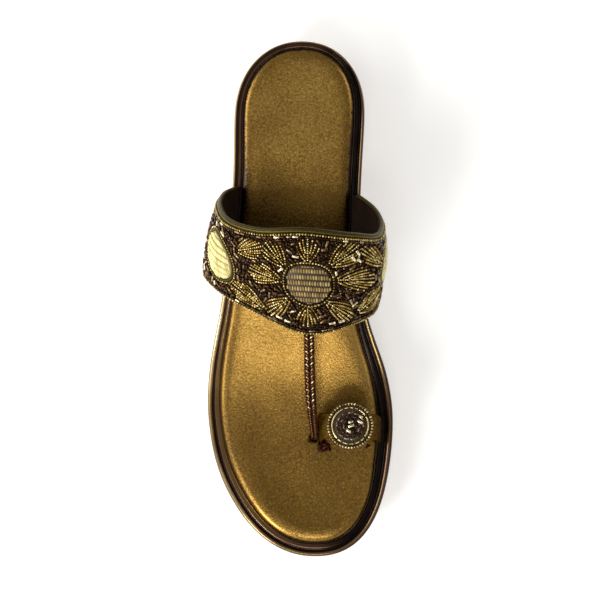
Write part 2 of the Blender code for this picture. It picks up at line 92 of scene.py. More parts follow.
def corners(piece):
    # the mesh's vertices as an array, in metres
    found = np.empty(len(piece.data.vertices) * 3)
    piece.data.vertices.foreach_get("co", found)
    return found.reshape(-1, 3)


def moveCorners(piece, places):
    piece.data.vertices.foreach_set("co", np.asarray(places, float).ravel())
    piece.data.update()


def useModifiers(piece):
    pick(piece)
    for modifier in list(piece.modifiers):
        bpy.ops.object.modifier_apply(modifier=modifier.name)


def subdivide(piece, levels):
    soft = piece.modifiers.new("Soft", "SUBSURF")
    soft.levels = soft.render_levels = levels
    useModifiers(piece)


def joined(pieces, name):
    pick(pieces[0])
    for piece in pieces[1:]:
        piece.select_set(True)
    bpy.ops.object.join()
    pieces[0].name = pieces[0].data.name = name
    return pieces[0]


def linked(name, data):
    piece = bpy.data.objects.new(name, data)
    bpy.context.scene.collection.objects.link(piece)
    return piece


def copyOfNode(node, name):
    # a CAD node's mesh, merged and turned back into quads
    data = nodes[node].data.copy()
    data.name = name
    data.materials.clear()
    piece = linked(name, data)
    pick(piece)
    bpy.ops.mesh.customdata_custom_splitnormals_clear()
    editAll(piece)
    bpy.ops.mesh.remove_doubles(threshold=1e-6)
    bpy.ops.mesh.mark_sharp(clear=True)
    bpy.ops.mesh.tris_convert_to_quads(face_threshold=1.0, shape_threshold=1.4)
    editDone()
    return piece


def setTone(data, tones):
    # the tone of each vertex, which the materials read
    data.attributes.new("tone", "FLOAT", "POINT").data.foreach_set("value", np.asarray(tones, np.float32))


def setChart(piece, spots):
    # the piece's own map: each vertex's place on its chart, in metres
    chartMap = piece.data.uv_layers.active
    chartMap.name = "chart"
    loopVerts = np.empty(len(piece.data.loops), int)
    piece.data.loops.foreach_get("vertex_index", loopVerts)
    chartMap.data.foreach_set("uv", spots[loopVerts].ravel())


def meshPiece(name, points, faces, tones=None):
    data = bpy.data.meshes.new(name)
    data.from_pydata([tuple(p) for p in points], [], [tuple(f) for f in faces])
    if tones is not None:
        setTone(data, tones)
    return linked(name, data)


def ready(piece, material, stands=(), angle=180):
    # shading, material, and what the frame needs to know of the piece
    pick(piece)
    if angle < 180:
        bpy.ops.object.shade_smooth_by_angle(angle=math.radians(angle))
    else:
        bpy.ops.object.shade_smooth()
    if material is not None:
        piece.data.materials.clear()
        piece.data.materials.append(material)
    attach(piece, "root")
    if stands:
        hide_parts(*stands)


# small helpers for numbers

def unit(vectors):
    return vectors / np.linalg.norm(vectors, axis=-1, keepdims=True)


def runAlong(points):
    # the length of a line of points up to each one
    return np.concatenate(([0.0], np.cumsum(np.linalg.norm(np.diff(points, axis=0), axis=1))))


def spread(away, width):
    # 1 in the middle, and softly down over a width
    return np.exp(-(away / width) ** 2)


def slope(value, start, end):
    # 0 to 1 as the value goes from start to end
    return np.clip((value - start) / (end - start), 0, 1)


# materials

def linear(code):
    # sRGB hex to the linear colour of a shader socket
    parts = [int(code[k:k + 2], 16) / 255 for k in (1, 3, 5)]
    return (*[c / 12.92 if c <= 0.04045 else ((c + 0.055) / 1.055) ** 2.4 for c in parts], 1.0)


def addNode(tree, kind, values=None, links=None):
    # one node with its settings, its inputs' values and what feeds them; a node feeds by its first output
    made = tree.nodes.new("ShaderNode" + kind)
    for key, value in (values or {}).items():
        if isinstance(key, int) or key in made.inputs:
            made.inputs[key].default_value = value
        else:
            setattr(made, key, value)
    for key, source in (links or {}).items():
        tree.links.new(source.outputs[0] if hasattr(source, "outputs") else source, made.inputs[key])
    return made


def rampStops(node, stops):
    ramp = node.color_ramp
    while len(ramp.elements) < len(stops):
        ramp.elements.new(0.5)
    for element, (place, code) in zip(ramp.elements, stops):
        element.position = place
        element.color = linear(code)


def newMaterial(name, **sockets):
    # a material with the even values set on its shader
    material = bpy.data.materials.new(name)
    material.use_nodes = True
    shader = material.node_tree.nodes["Principled BSDF"]
    for key, value in sockets.items():
        shader.inputs[key.replace("_", " ")].default_value = value
    return material, material.node_tree, shader


def dressed(parts, shade, stops, wear, rough, height, strength, depth):
    # what every material ends in: a tint by shade, a relief of a depth in mm, and a roughness between two
    # values that follows the wear, whose range may be given after them
    material, tree, shader = parts
    tint = addNode(tree, "ValToRGB", links={"Fac": shade})
    rampStops(tint, stops)
    low, high, fromLow, fromHigh = (*rough, 0.0, 1.0)[:4]
    spans = {"From Min": fromLow, "From Max": fromHigh, "To Min": low, "To Max": high}
    worn = addNode(tree, "MapRange", spans, {"Value": wear})
    relief = addNode(tree, "Bump", {"Strength": strength, "Distance": depth * mm}, {"Height": height})
    for socket, source in (("Base Color", tint), ("Roughness", worn), ("Normal", relief)):
        tree.links.new(source.outputs[0], shader.inputs[socket])
    return material


def unevenTone(tree, noise, swing):
    # the piece's own tone, a little lighter and darker with a noise
    tone = addNode(tree, "Attribute", {"attribute_name": "tone"}).outputs["Fac"]
    raised = addNode(tree, "Math", {"operation": "MULTIPLY_ADD", 1: swing}, {0: noise, 2: tone})
    return addNode(tree, "Math", {"operation": "SUBTRACT", 1: swing / 2}, {0: raised})


def foilLeather(name, light, mid, dark, deep, rough, **sockets):
    # split leather with a bronze foil pressed on and a pebbled plate: a satin metal sheen that
    # breaks up into grain, darker in the creases between the pebbles, under a thin clear finish
    parts = newMaterial(name, Metallic=0.9, Coat_Roughness=0.32, **sockets)
    tree = parts[1]
    spot = addNode(tree, "TexCoord").outputs["Object"]
    seat = addNode(tree, "VectorMath", {"operation": "DISTANCE", 1: (0.0, 95 * mm, 38 * mm)}, {0: spot})
    # painted light: the foil is made lighter round the heel seat
    seatSpan = {"From Min": 22 * mm, "From Max": 52 * mm, "To Min": 0.17, "To Max": 0.0}
    heelPaintedLight = addNode(tree, "MapRange", {**seatSpan, "interpolation_type": "SMOOTHSTEP"},
                     {"Value": seat.outputs["Value"]})
    # pebbles of about 1.1 mm
    pebble = addNode(tree, "TexVoronoi",
                     {"feature": "SMOOTH_F1", "Scale": 1 / (1.15 * mm), "Smoothness": 0.6}, {"Vector": spot})
    grain = addNode(tree, "TexNoise", {"Scale": 1 / (0.80 * mm), "Detail": 2.0, "Roughness": 0.6},
                    {"Vector": spot})
    # it lies a little unevenly over centimetres
    cloud = addNode(tree, "TexNoise", {"Scale": 1 / (26 * mm), "Detail": 3.0, "Roughness": 0.55},
                    {"Vector": spot})
    # the tone carries painted light and shade: painted highlights just inside the edges, and painted shade
    # along the edges, beside the medallion and by the strap
    paintedLightTone = addNode(tree, "Attribute", {"attribute_name": "tone"}).outputs["Fac"]
    shade = addNode(tree, "Math", {"operation": "MULTIPLY_ADD", 1: -0.35, 2: 0.08}, {0: pebble})
    for source, weight in ((grain, 0.72), (cloud, 0.42), (heelPaintedLight, 1.0), (paintedLightTone, 1.0)):
        shade = addNode(tree, "Math", {"operation": "MULTIPLY_ADD", 1: weight}, {0: source, 2: shade})
    height = addNode(tree, "Math", {"operation": "MULTIPLY_ADD", 1: -0.6}, {0: pebble, 2: grain})
    return dressed(parts, shade, ((0.0, deep), (0.18, dark), (0.50, mid), (0.82, light)),
                   grain, (rough - 0.05, rough + 0.08, 0.3, 0.7), height, 0.5, 0.11)


def mirrorPatent():
    # mirror patent leather, lacquered: its colour follows a painted tone of painted reflection and shade,
    # nearly black in the groove, brown on the flat band, and a painted bright line on the bead
    parts = newMaterial("patent leather, lacquered", Metallic=0.85, Coat_Weight=0.25, Coat_Roughness=0.05)
    spot = addNode(parts[1], "TexCoord").outputs["Object"]
    wave = addNode(parts[1], "TexNoise", {"Scale": 1 / (9 * mm), "Detail": 2.0}, {"Vector": spot})
    stops = ((0.0, "#080403"), (0.22, "#46301F"), (0.48, "#7A5C46"), (0.72, "#927A44"), (0.86, "#C0A66E"),
             (1.0, "#F6E6C0"))
    return dressed(parts, unevenTone(parts[1], wave, 0.16), stops, wave, (0.16, 0.26), wave, 0.25, 0.3)


def mouldedRubber():
    # thermoplastic rubber, injection moulded in a sand-blasted tool: matt, with a fine even tooth
    parts = newMaterial("rubber, moulded matt", IOR=1.5)
    spot = addNode(parts[1], "TexCoord").outputs["Object"]
    cloud = addNode(parts[1], "TexNoise", {"Scale": 1 / (38 * mm), "Detail": 3.0}, {"Vector": spot})
    tooth = addNode(parts[1], "TexNoise", {"Scale": 1 / (0.7 * mm), "Detail": 3.0, "Roughness": 0.7},
                    {"Vector": spot})
    return dressed(parts, cloud, ((0.3, "#7D6249"), (0.55, "#8A6E54"), (0.8, "#967A60")),
                   tooth, (0.52, 0.72), tooth, 0.35, 0.08)


def wovenCloth(name, light, dark, pitch, metallic, rough, **sockets):
    # plain-woven cloth on the piece's own chart: crossing threads a pitch apart, lighter on their crowns
    parts = newMaterial(name, Metallic=metallic, **sockets)
    tree = parts[1]
    spot = addNode(tree, "UVMap", {"uv_map": "chart"}).outputs["UV"]
    bands = {"Scale": math.pi / (20 * pitch * mm), "Distortion": 0.6, "Detail": 1.0}
    warp, weft = [addNode(tree, "TexWave", {"bands_direction": way, **bands}, {"Vector": spot}).outputs["Fac"]
                  for way in ("X", "Y")]
    cross = addNode(tree, "Math", {"operation": "MULTIPLY"}, {0: warp, 1: weft})
    cloud = addNode(tree, "TexNoise", {"Scale": 1 / (6 * mm), "Detail": 4.0}, {"Vector": spot})
    shade = addNode(tree, "Math", {"operation": "MULTIPLY_ADD", 1: 0.55}, {0: cross, 2: cloud})
    return dressed(parts, shade, ((0.35, dark), (1.0, light)), cloud, (rough - 0.08, rough + 0.1),
                   cross, 0.6, 0.12)


def tonedMaterial(name, stops, metallic, rough, grain, depth, **sockets):
    # beads, wire and thread come in mixed lots, so each one takes its colour from its own tone
    parts = newMaterial(name, Metallic=metallic, **sockets)
    spot = addNode(parts[1], "TexCoord").outputs["Object"]
    mottle = addNode(parts[1], "TexNoise", {"Scale": 1 / (grain * mm), "Detail": 2.0}, {"Vector": spot})
    shade = unevenTone(parts[1], mottle, 0.25)
    return dressed(parts, shade, stops, mottle, (rough - 0.08, rough + 0.08), mottle, 0.4, depth)


footbedLeather = foilLeather("foiled leather, pebbled", "#CAA04D", "#9E7628", "#7B5A18", "#2E1F06", 0.27,
                             Coat_Weight=0.45)
# painted shade: the loop takes the footbed's foil leather in much darker colours, and dulls at its steep
# sides
shadedLoopLeather = foilLeather("foiled leather, thin band", "#78602C", "#564214", "#362706", "#241A04", 0.46,
                          Specular_IOR_Level=0.2, Specular_Tint=linear("#6A5234"))
rim = mirrorPatent()
rubber = mouldedRubber()
# dull brown ground cloth under the beads, a 0.5 mm weave that shows only in the gaps
groundCloth = wovenCloth("cotton ground cloth, woven", "#33200F", "#160B05", 0.5, 0.0, 0.75,
                         Specular_IOR_Level=0.15)
# lurex sides: gold thread woven with brown, so a dull olive metal that lights up in streaks
sideCloth = wovenCloth("lurex cloth, woven", "#8A6A2C", "#4A3410", 0.6, 0.55, 0.42)
# brushed knit lining, nearly black and quite dull
liningCloth = wovenCloth("lining, brushed knit", "#2C1907", "#0E0703", 0.35, 0.0, 0.9,
                         Specular_IOR_Level=0.15)
# felt base under the medallion's beads, olive, which shows between the rings
feltOlive = wovenCloth("felt base, olive", "#4E3E16", "#261C08", 0.5, 0.1, 0.7)
# olive-gold satin binding, folded over the edge: a long soft highlight along each band
bindingSatin = tonedMaterial("satin binding, folded", ((0.2, "#2E260A"), (0.5, "#544612"), (0.85, "#8A7434")),
                             0.75, 0.42, 0.8, 0.05)
# galvanised glass seed beads: small round mirrors, each a little lighter or darker gold
seedGold = tonedMaterial("seed beads, galvanised gold",
                         ((0.1, "#725F2A"), (0.5, "#C4AE68"), (0.9, "#F6EABE")), 1.0, 0.22, 0.5, 0.02)
# beads from older lots on the medallion and the plait: seeds dulled to antique gold, bugles lined in plum
seedAntique = tonedMaterial("seed beads, antique gold",
                            ((0.1, "#4E3C22"), (0.5, "#A08456"), (0.9, "#ECD6A4")), 1.0, 0.24, 0.5, 0.02)
buglePlum = tonedMaterial("bugle beads, plum lined",
                          ((0.08, "#1C0F0B"), (0.42, "#412C25"), (0.72, "#7C6354"), (0.93, "#F4E4C0")),
                          0.95, 0.2, 0.6, 0.02)
# metal-lined bugle beads, purple-brown to bronze glass tube with a gleam along each side
bugleDark = tonedMaterial("bugle beads, lined glass",
                          ((0.08, "#20120A"), (0.42, "#46301D"), (0.72, "#886D4A"), (0.93, "#F4E6BE")),
                          0.95, 0.2, 0.6, 0.02)
# french wire, a fine coil cut to length: gold with a dark line between its turns
wireGold = tonedMaterial("french wire, coiled brass", ((0.1, "#523E12"), (0.5, "#B08E40"), (0.9, "#F4E0A2")),
                         1.0, 0.27, 0.4, 0.03)
# taupe and cream silk floss laid in bundles: a soft sheen along the thread
taupeThread = tonedMaterial("silk floss, taupe", ((0.1, "#33260F"), (0.5, "#987C42"), (0.9, "#CEB27A")),
                            0.2, 0.5, 0.35, 0.06, Sheen_Weight=0.1)
creamThread = tonedMaterial("silk floss, cream", ((0.15, "#A8964A"), (0.5, "#EFE4A0"), (0.9, "#FBF5C8")),
                            0.0, 0.45, 0.35, 0.06, Sheen_Weight=0.3)
# waxed leather cord, plaited: dark red-brown, with a dull shine on each strand
braidCord = tonedMaterial("leather cord, plaited", ((0.1, "#280D04"), (0.5, "#52240C"), (0.9, "#804618")),
                          0.5, 0.44, 0.5, 0.04, Specular_IOR_Level=0.15)
print("materials ready")


# camera, light and floor: straight down on the shoe, heel at the top

view = {"height": 1435, "framed": 292, "rimHeight": 35, "sensor": 36}
camera = linked("camera", bpy.data.cameras.new("camera"))
camera.data.sensor_width = view["sensor"]
camera.data.lens = view["sensor"] * (view["height"] - view["rimHeight"]) / view["framed"]
camera.location = (0, 0, view["height"] * mm)
bpy.context.scene.camera = camera

lamps = {
    # place, size and power; each one faces the shoe
    "topSoftbox": ((-0.06, -0.68, 1.70), (0.50, 0.30), 3.0),
    "leftSoftbox": ((-1.50, -1.40, 1.50), (0.70, 1.50), 35.0),
    "sideReflector": ((-0.62, 0.12, 0.36), (0.50, 0.30), 1.8),
    "farReflector": ((0.58, 0.30, 0.44), (0.36, 0.26), 0.7),
}
for name, (place, size, power) in lamps.items():
    lamp = linked(name, bpy.data.lights.new(name, "AREA"))
    lamp.data.shape = "RECTANGLE"
    lamp.data.size, lamp.data.size_y = size
    lamp.data.energy = power
    lamp.location = place
    lamp.rotation_euler = (-Vector(place)).to_track_quat("-Z", "Y").to_euler()
    lamp.visible_camera = False

# a pale room with a dim ceiling, so that level shiny faces stay dark from above, and brighter on
# the side of the softboxes
world = bpy.data.worlds.new("studio")
world.use_nodes = True
sky = world.node_tree
toSky = addNode(sky, "TexCoord").outputs["Generated"]
upwards = addNode(sky, "SeparateXYZ", links={"Vector": toSky})
room = addNode(sky, "ValToRGB", links={"Fac": upwards.outputs["Z"]})
rampStops(room, ((0.0, "#FFFEFC"), (0.62, "#FBF9F6"), (0.86, "#B0ADA8"), (1.0, "#9C9995")))
sideways = addNode(sky, "VectorMath", {"operation": "DOT_PRODUCT", 1: (-0.8, -0.6, 0.0)}, {0: toSky})
lit = addNode(sky, "MapRange", {"From Min": -0.7, "From Max": 0.9, "To Min": 0.32, "To Max": 1.0},
              {"Value": sideways.outputs["Value"]})
backdrop = sky.nodes["Background"]
sky.links.new(room.outputs["Color"], backdrop.inputs["Color"])
sky.links.new(lit.outputs["Result"], backdrop.inputs["Strength"])
bpy.context.scene.world = world
bpy.context.scene.view_settings.view_transform = "Standard"

floor = started(bpy.ops.mesh.primitive_plane_add, size=6)
floor.name = "floor"
# lit a little from below
paper = newMaterial("acrylic light table, matt", Roughness=0.9, Base_Color=linear("#F6F6F4"),
                    Emission_Color=linear("#FFFFFF"), Emission_Strength=0.42)
floor.data.materials.append(paper[0])
print("camera, lamps and floor in place")


# straps: the same lines that the solids are laid through, as (x, station, height) from rear to front

shoe = {"length": 252.0, "shift": -0.079}
vampLines = (
    ((-29.42, 71.00, 33.99), (-32.04, 104.50, 28.78)),
    ((-30.00, 71.60, 37.62), (-31.40, 105.40, 32.34)),
    ((-35.40, 74.20, 45.61), (-39.20, 108.40, 38.66)),
    ((-37.90, 79.40, 59.40), (-44.80, 113.20, 47.38)),
    ((-34.80, 87.00, 75.20), (-38.60, 120.80, 55.62)),
    ((-20.50, 92.80, 87.82), (-18.60, 132.40, 62.81)),
    ((2.50, 93.10, 93.47), (4.80, 141.60, 66.21)),
    ((25.00, 95.40, 87.87), (23.80, 137.40, 62.32)),
    ((36.40, 95.20, 74.31), (34.30, 131.80, 53.89)),
    ((38.50, 88.20, 59.00), (36.30, 124.00, 45.10)),
    ((34.20, 80.60, 44.72), (32.80, 113.20, 37.88)),
    ((27.40, 75.40, 37.16), (26.00, 106.80, 32.12)),
    ((25.67, 74.60, 33.56), (25.28, 106.00, 28.54)),
)


def inFrame(spots, shift=0.0):
    # from x, station and height in mm to a place in the frame, in metres
    spots = np.asarray(spots, float)
    return np.stack([spots[..., 0] + shift, shoe["length"] / 2 - spots[..., 1], spots[..., 2]], axis=-1) * mm


def smoothLine(knots, values, at):
    # a cubic through the values at the knots
    step = np.diff(knots)
    rise = np.diff(values) / step
    slopes = np.empty(len(knots))
    slopes[0], slopes[-1] = rise[0], rise[-1]
    slopes[1:-1] = (rise[:-1] * step[1:] + rise[1:] * step[:-1]) / (step[:-1] + step[1:])
    at = np.clip(at, knots[0], knots[-1])
    k = np.clip(np.searchsorted(knots, at, side="right") - 1, 0, len(knots) - 2)
    t = (at - knots[k]) / step[k]
    return ((2 * t**3 - 3 * t**2 + 1) * values[k] + (t**3 - 2 * t**2 + t) * step[k] * slopes[k]
            + (3 * t**2 - 2 * t**3) * values[k + 1] + (t**3 - t**2) * step[k] * slopes[k + 1])


def smoothPoints(knots, points, at):
    return np.stack([smoothLine(knots, points[:, axis], at) for axis in range(3)], axis=1)


def strapChart(lines, bulge, columns, rows):
    # the strap's middle surface as a grid of points and outward normals, in metres, a little past its edges
    ends = np.array(lines, float)
    knots = runAlong(ends.mean(axis=1))
    around = np.linspace(0, 1, columns + 1)
    across = np.linspace(-pastEdge, 1 + pastEdge, rows + 1)
    rear, front = [smoothPoints(knots, ends[:, k], around * knots[-1]) for k in (0, 1)]
    points = rear[:, None] * (1 - across[None, :, None]) + front[:, None] * across[None, :, None]
    turn = math.pi * around
    swell = bulge * 4 * (across * (1 - across))[None, :] * (np.sin(turn).clip(0) ** 0.6)[:, None]
    points = points + np.stack([-np.cos(turn), 0 * turn, np.sin(turn)], axis=1)[:, None] * swell[..., None]
    points = inFrame(points, shoe["shift"])
    out = unit(np.cross(np.gradient(points, axis=0), np.gradient(points, axis=1)))
    if out[columns // 2, rows // 2, 2] < 0:
        out = -out
    return {"points": points, "out": out, "length": knots[-1], "widths": np.linalg.norm(front - rear, axis=1)}


pastEdge = 0.06  # the chart goes past both edges by this share of the strap's width
vampChart = strapChart(vampLines, 2.2, 336, 112)
vampLength = vampChart["length"]


def widthAt(u):
    return np.interp(u, np.linspace(0, vampLength, len(vampChart["widths"])), vampChart["widths"])


def onVamp(u, v, lift):
    # a place u mm round the vamp and v mm from its rear edge, lifted along the normal; points and normals
    u, v, lift = np.broadcast_arrays(*[np.asarray(x, float) for x in (u, v, lift)])
    grid, out = vampChart["points"], vampChart["out"]
    a = np.clip(u / vampLength * (grid.shape[0] - 1), 0, grid.shape[0] - 1.001)
    c = (v / widthAt(u) + pastEdge) / (1 + 2 * pastEdge)
    c = np.clip(c * (grid.shape[1] - 1), 0, grid.shape[1] - 1.001)
    i, j = a.astype(int), c.astype(int)
    fa, fc = (a - i)[..., None], (c - j)[..., None]

    def mixed(values):
        return ((values[i, j] * (1 - fa) + values[i + 1, j] * fa) * (1 - fc)
                + (values[i, j + 1] * (1 - fa) + values[i + 1, j + 1] * fa) * fc)

    normal = unit(mixed(out))
    return mixed(grid) + normal * lift[..., None] * mm, normal


# what lies where on the vamp, on a fine raster of its chart, so that beads find the gaps

cell = 0.2
margin = 15  # cells before the rear edge
taken = np.zeros((int(vampLength / cell) + 2, int(60 / cell)), bool)


def fromLine(u, v, u0, v0, u1, v1):
    # how far along a line, from 0 to 1, and the square of how far away from it
    du, dv = u1 - u0, v1 - v0
    t = np.clip(((u - u0) * du + (v - v0) * dv) / max(du * du + dv * dv, 1e-9), 0, 1)
    return t, (u - u0 - t * du) ** 2 + (v - v0 - t * dv) ** 2


def footprint(us, vs, half):
    # raster cells within half a breadth of a line between two places
    (u0, u1), (v0, v1) = us, vs
    lowU, highU = min(u0, u1) - half, max(u0, u1) + half
    lowV, highV = min(v0, v1) - half, max(v0, v1) + half
    iu = np.arange(max(int(lowU / cell), 0), min(int(highU / cell) + 2, taken.shape[0]))
    iv = np.arange(max(int(lowV / cell) + margin, 0), min(int(highV / cell) + margin + 2, taken.shape[1]))
    gu, gv = np.meshgrid(iu * cell, (iv - margin) * cell, indexing="ij")
    return np.ix_(iu, iv), fromLine(gu, gv, u0, v0, u1, v1)[1] <= half * half


def claim(us, vs, half):
    # the raster under a line of points is taken
    for k in range(len(us) - 1):
        cells, near = footprint(us[k:k + 2], vs[k:k + 2], half)
        taken[cells] |= near


def crowding(us, vs, half):
    # share of the place under a short line that is already taken
    cells, near = footprint(us, vs, half)
    return (taken[cells] & near).sum() / max(near.sum(), 1)


# beads and stitches: one small form of each is modelled, then copied to its places

def shapedBead(kind):
    # a bead 2 units long, broad and high, its length along x
    if kind == "bugle":
        bead = started(bpy.ops.mesh.primitive_cylinder_add, vertices=7, radius=1, depth=2)
    else:
        bead = started(bpy.ops.mesh.primitive_uv_sphere_add, segments=8, ring_count=5, radius=1)
    editAll(bead)
    bpy.ops.transform.rotate(value=math.pi / 2, orient_axis="Y", center_override=(0, 0, 0))
    editDone()
    if kind == "bugle":
        editFaces(bead, lambda face: abs(face.normal.x) > 0.9)
        bpy.ops.mesh.inset(thickness=0.22, depth=0.0)
        editDone()
    places = corners(bead)
    if kind == "bugle":
        places[np.hypot(places[:, 1], places[:, 2]) >= 0.9, 0] *= 0.9  # the cut ends are fire-polished
    elif kind == "stitch":
        places[:, 0] = np.sign(places[:, 0]) * np.abs(places[:, 0]) ** 0.6  # blunt ends, as a laid bundle has
    moveCorners(bead, places)
    facesOut(bead)
    shape = corners(bead), [tuple(face.vertices) for face in bead.data.polygons]
    bpy.data.objects.remove(bead)
    return shape


forms = {kind: shapedBead(kind) for kind in ("seed", "stitch", "bugle")}


class BeadBox:
    # collects beads of one form until they are strewn as one mesh
    def __init__(self, name, kind):
        self.name, self.kind, self.beads, self.tones = name, kind, [], []

    def add(self, centre, along, up, size, tone):
        # the size is half the length, breadth and height, in mm
        self.beads.append((centre, along, up, [s * mm for s in size]))
        self.tones.append(tone)

    def made(self, material, slot):
        verts, faces = forms[self.kind]
        centres, along, up, sizes = np.array(self.beads, float).transpose(1, 0, 2)
        along = unit(along)
        side = unit(np.cross(up, along))
        high = np.cross(along, side)
        turned = np.stack([along * sizes[:, :1], side * sizes[:, 1:2], high * sizes[:, 2:]], axis=2)
        points = np.einsum("nij,vj->nvi", turned, verts) + centres[:, None]
        count = len(verts)
        allFaces = [tuple(i + k * count for i in face) for k in range(len(centres)) for face in faces]
        piece = meshPiece(self.name, points.reshape(-1, 3), allFaces, np.repeat(self.tones, count))
        print(self.name, len(centres), "beads")
        ready(piece, material)


def evenly(points, normals, pitch, closed=False):
    # places at even steps along a line of points, with directions and normals
    if closed:
        points = np.vstack([points, points[:1]])
        normals = np.vstack([normals, normals[:1]])
    run = runAlong(points)
    count = max(int(round(run[-1] / (pitch * mm))), 1)
    at = (np.arange(count) + 0.5) * run[-1] / count

    def between(values, places):
        return np.stack([np.interp(places, run, values[:, k]) for k in range(3)], axis=1)

    ahead = between(points, at + 0.2 * mm) - between(points, at - 0.2 * mm)
    return between(points, at), ahead, between(normals, at)


def tubes(name, runs, sides, material, stands=()):
    # tubes along runs of (points, normals, half breadths, half heights, tone), closed at their ends
    points, faces, tones = [], [], []
    turn = np.arange(sides) * 2 * math.pi / sides
    for line, up, broad, high, tone in runs:
        ahead = unit(np.gradient(line, axis=0))
        side = unit(np.cross(up, ahead))
        over = np.cross(ahead, side)
        broad, high = [np.full(len(line), half)[:, None, None] * mm for half in (broad, high)]
        start = len(points) * sides
        points.extend(line[:, None] + side[:, None] * (np.cos(turn)[None, :, None] * broad)
                      + over[:, None] * (np.sin(turn)[None, :, None] * high))
        last = (len(points) - 1) * sides
        for ring in range(start, last, sides):
            for j in range(sides):
                a, b = ring + j, ring + (j + 1) % sides
                faces.append((a, b, b + sides, a + sides))
        faces.append(tuple(range(start + sides - 1, start - 1, -1)))
        faces.append(tuple(range(last, last + sides)))
        tones.extend([tone] * (len(line) * sides))
    piece = meshPiece(name, np.vstack(points), faces, tones)
    facesOut(piece)
    ready(piece, material, stands, 70)


# sole: the moulded wedge with its fine-ribbed treads

sole = {"ribPitch": 1.55, "groove": 0.62, "deep": 0.4, "border": 1.5, "shortest": 6,
        "treads": ((10, 77.5), (139.5, 242))}
wedge = copyOfNode("outsole", "soleWedge")
places = corners(wedge)
underside = {pair for face in wedge.data.polygons if face.normal.z < -0.9 for pair in face.edge_keys}
underside = [(places[a], places[b]) for a, b in underside]


def treadAt(y):
    # the tread's two sides and its height at a place along the sole
    crossed = []
    for a, b in underside:
        if (a[1] - y) * (b[1] - y) < 0:
            crossed.append(a + (b - a) * (y - a[1]) / (b[1] - a[1]))
    if len(crossed) < 2:
        return None
    level = min(spot[2] for spot in crossed)
    sides = [spot[0] for spot in crossed if spot[2] < level + 0.25 * mm]
    return min(sides), max(sides), level


boxCorners, boxFaces = [], []
boxSides = ((3, 2, 1, 0), (4, 5, 6, 7), (0, 1, 5, 4), (1, 2, 6, 5), (2, 3, 7, 6), (3, 0, 4, 7))
for k in range(int(shoe["length"] / sole["ribPitch"])):
    y = (k + 0.5) * sole["ribPitch"] * mm - shoe["length"] / 2 * mm
    station = shoe["length"] / 2 - y / mm
    if not any(first + sole["border"] < station < last - sole["border"] for first, last in sole["treads"]):
        continue
    # the middle one is a hair off, so that it never meets a corner
    spans = [treadAt(y + off * mm) for off in (-sole["border"], 0.003, sole["border"])]
    if None in spans:
        continue
    left = max(s[0] for s in spans) + sole["border"] * mm
    right = min(s[1] for s in spans) - sole["border"] * mm
    if right - left < sole["shortest"] * mm:
        continue
    half, level = sole["groove"] / 2 * mm, spans[1][2]
    boxFaces += [tuple(len(boxCorners) + i for i in side) for side in boxSides]
    # each groove is a little wider where it opens
    for z, wide in ((level - 0.5 * mm, half * 1.25), (level + sole["deep"] * mm, half * 0.7)):
        boxCorners += [(left, y - wide, z), (right, y - wide, z), (right, y + wide, z), (left, y + wide, z)]
grooves = meshPiece("grooves", boxCorners, boxFaces)
cut = wedge.modifiers.new("Grooves", "BOOLEAN")
cut.operation = "DIFFERENCE"
cut.solver = "EXACT"
cut.object = grooves
useModifiers(wedge)
bpy.data.objects.remove(grooves)
ready(wedge, rubber, ["outsole"], 28)
print("sole", len(wedge.data.polygons), "faces")


# nubs on the heel's tread, and the size ring on the waist

marks = {"nubs": ((17.6, 74.6), (-19.0, 71.9), (17.6, 34.4), (-14.9, 30.2)), "nubSize": 3.7, "nubHigh": 0.7,
         "ring": (16.0, 131.0), "ringRadius": 4.2, "ringHalf": 0.35, "ringUp": 0.78,
         "size": "38", "digits": 4.6, "relief": 0.25, "digitsUp": 0.72}
nubs = []
for x, station in marks["nubs"]:
    nub = started(bpy.ops.mesh.primitive_cylinder_add, vertices=3, radius=marks["nubSize"] / 1.8 * mm,
                  depth=marks["nubHigh"] * mm, location=tuple(inFrame((x, station, marks["nubHigh"] / 2))))
    editAll(nub)
    bpy.ops.mesh.bevel(offset=0.12 * mm, segments=2)
    editDone()
    nubs.append(nub)
ready(joined(nubs, "heelNubs"), rubber, angle=30)

ring = started(bpy.ops.mesh.primitive_torus_add, major_radius=marks["ringRadius"] * mm,
               minor_radius=marks["ringHalf"] * mm, major_segments=40, minor_segments=8,
               location=tuple(inFrame((*marks["ring"], marks["ringUp"]))))
bpy.ops.object.select_all(action="DESELECT")
bpy.ops.object.text_add()
number = bpy.context.object
number.data.body = marks["size"]
number.data.size = marks["digits"] * mm
number.data.extrude = marks["relief"] * mm
number.data.align_x = "CENTER"
number.data.align_y = "CENTER"
bpy.ops.object.convert(target="MESH")
number = bpy.context.object
editAll(number)
bpy.ops.mesh.remove_doubles(threshold=1e-6)
editDone()
places = corners(number) * (-1, 1, 1)  # it reads from below
moveCorners(number, places + inFrame((*marks["ring"], marks["digitsUp"])))
facesOut(number)
ready(joined([ring, number], "sizeRing"), rubber, angle=40)
print("nubs and size ring")


# rand: a raised bead, a groove and a flat band, each with its own painted tone of painted reflection and
# shade

def awayFrom(spots, line):
    # how far the spots are, seen from above, from a line round the shoe
    line = line[np.argsort(np.arctan2(line[:, 1], line[:, 0]))]
    sides = np.roll(line, -1, axis=0) - line
    squares = np.maximum((sides ** 2).sum(axis=1), 1e-12)
    along = np.einsum("ijk,jk->ij", spots[:, None] - line[None], sides) / squares
    near = line[None] + sides[None] * np.clip(along, 0, 1)[..., None]
    return np.linalg.norm(spots[:, None] - near, axis=2).min(axis=1)


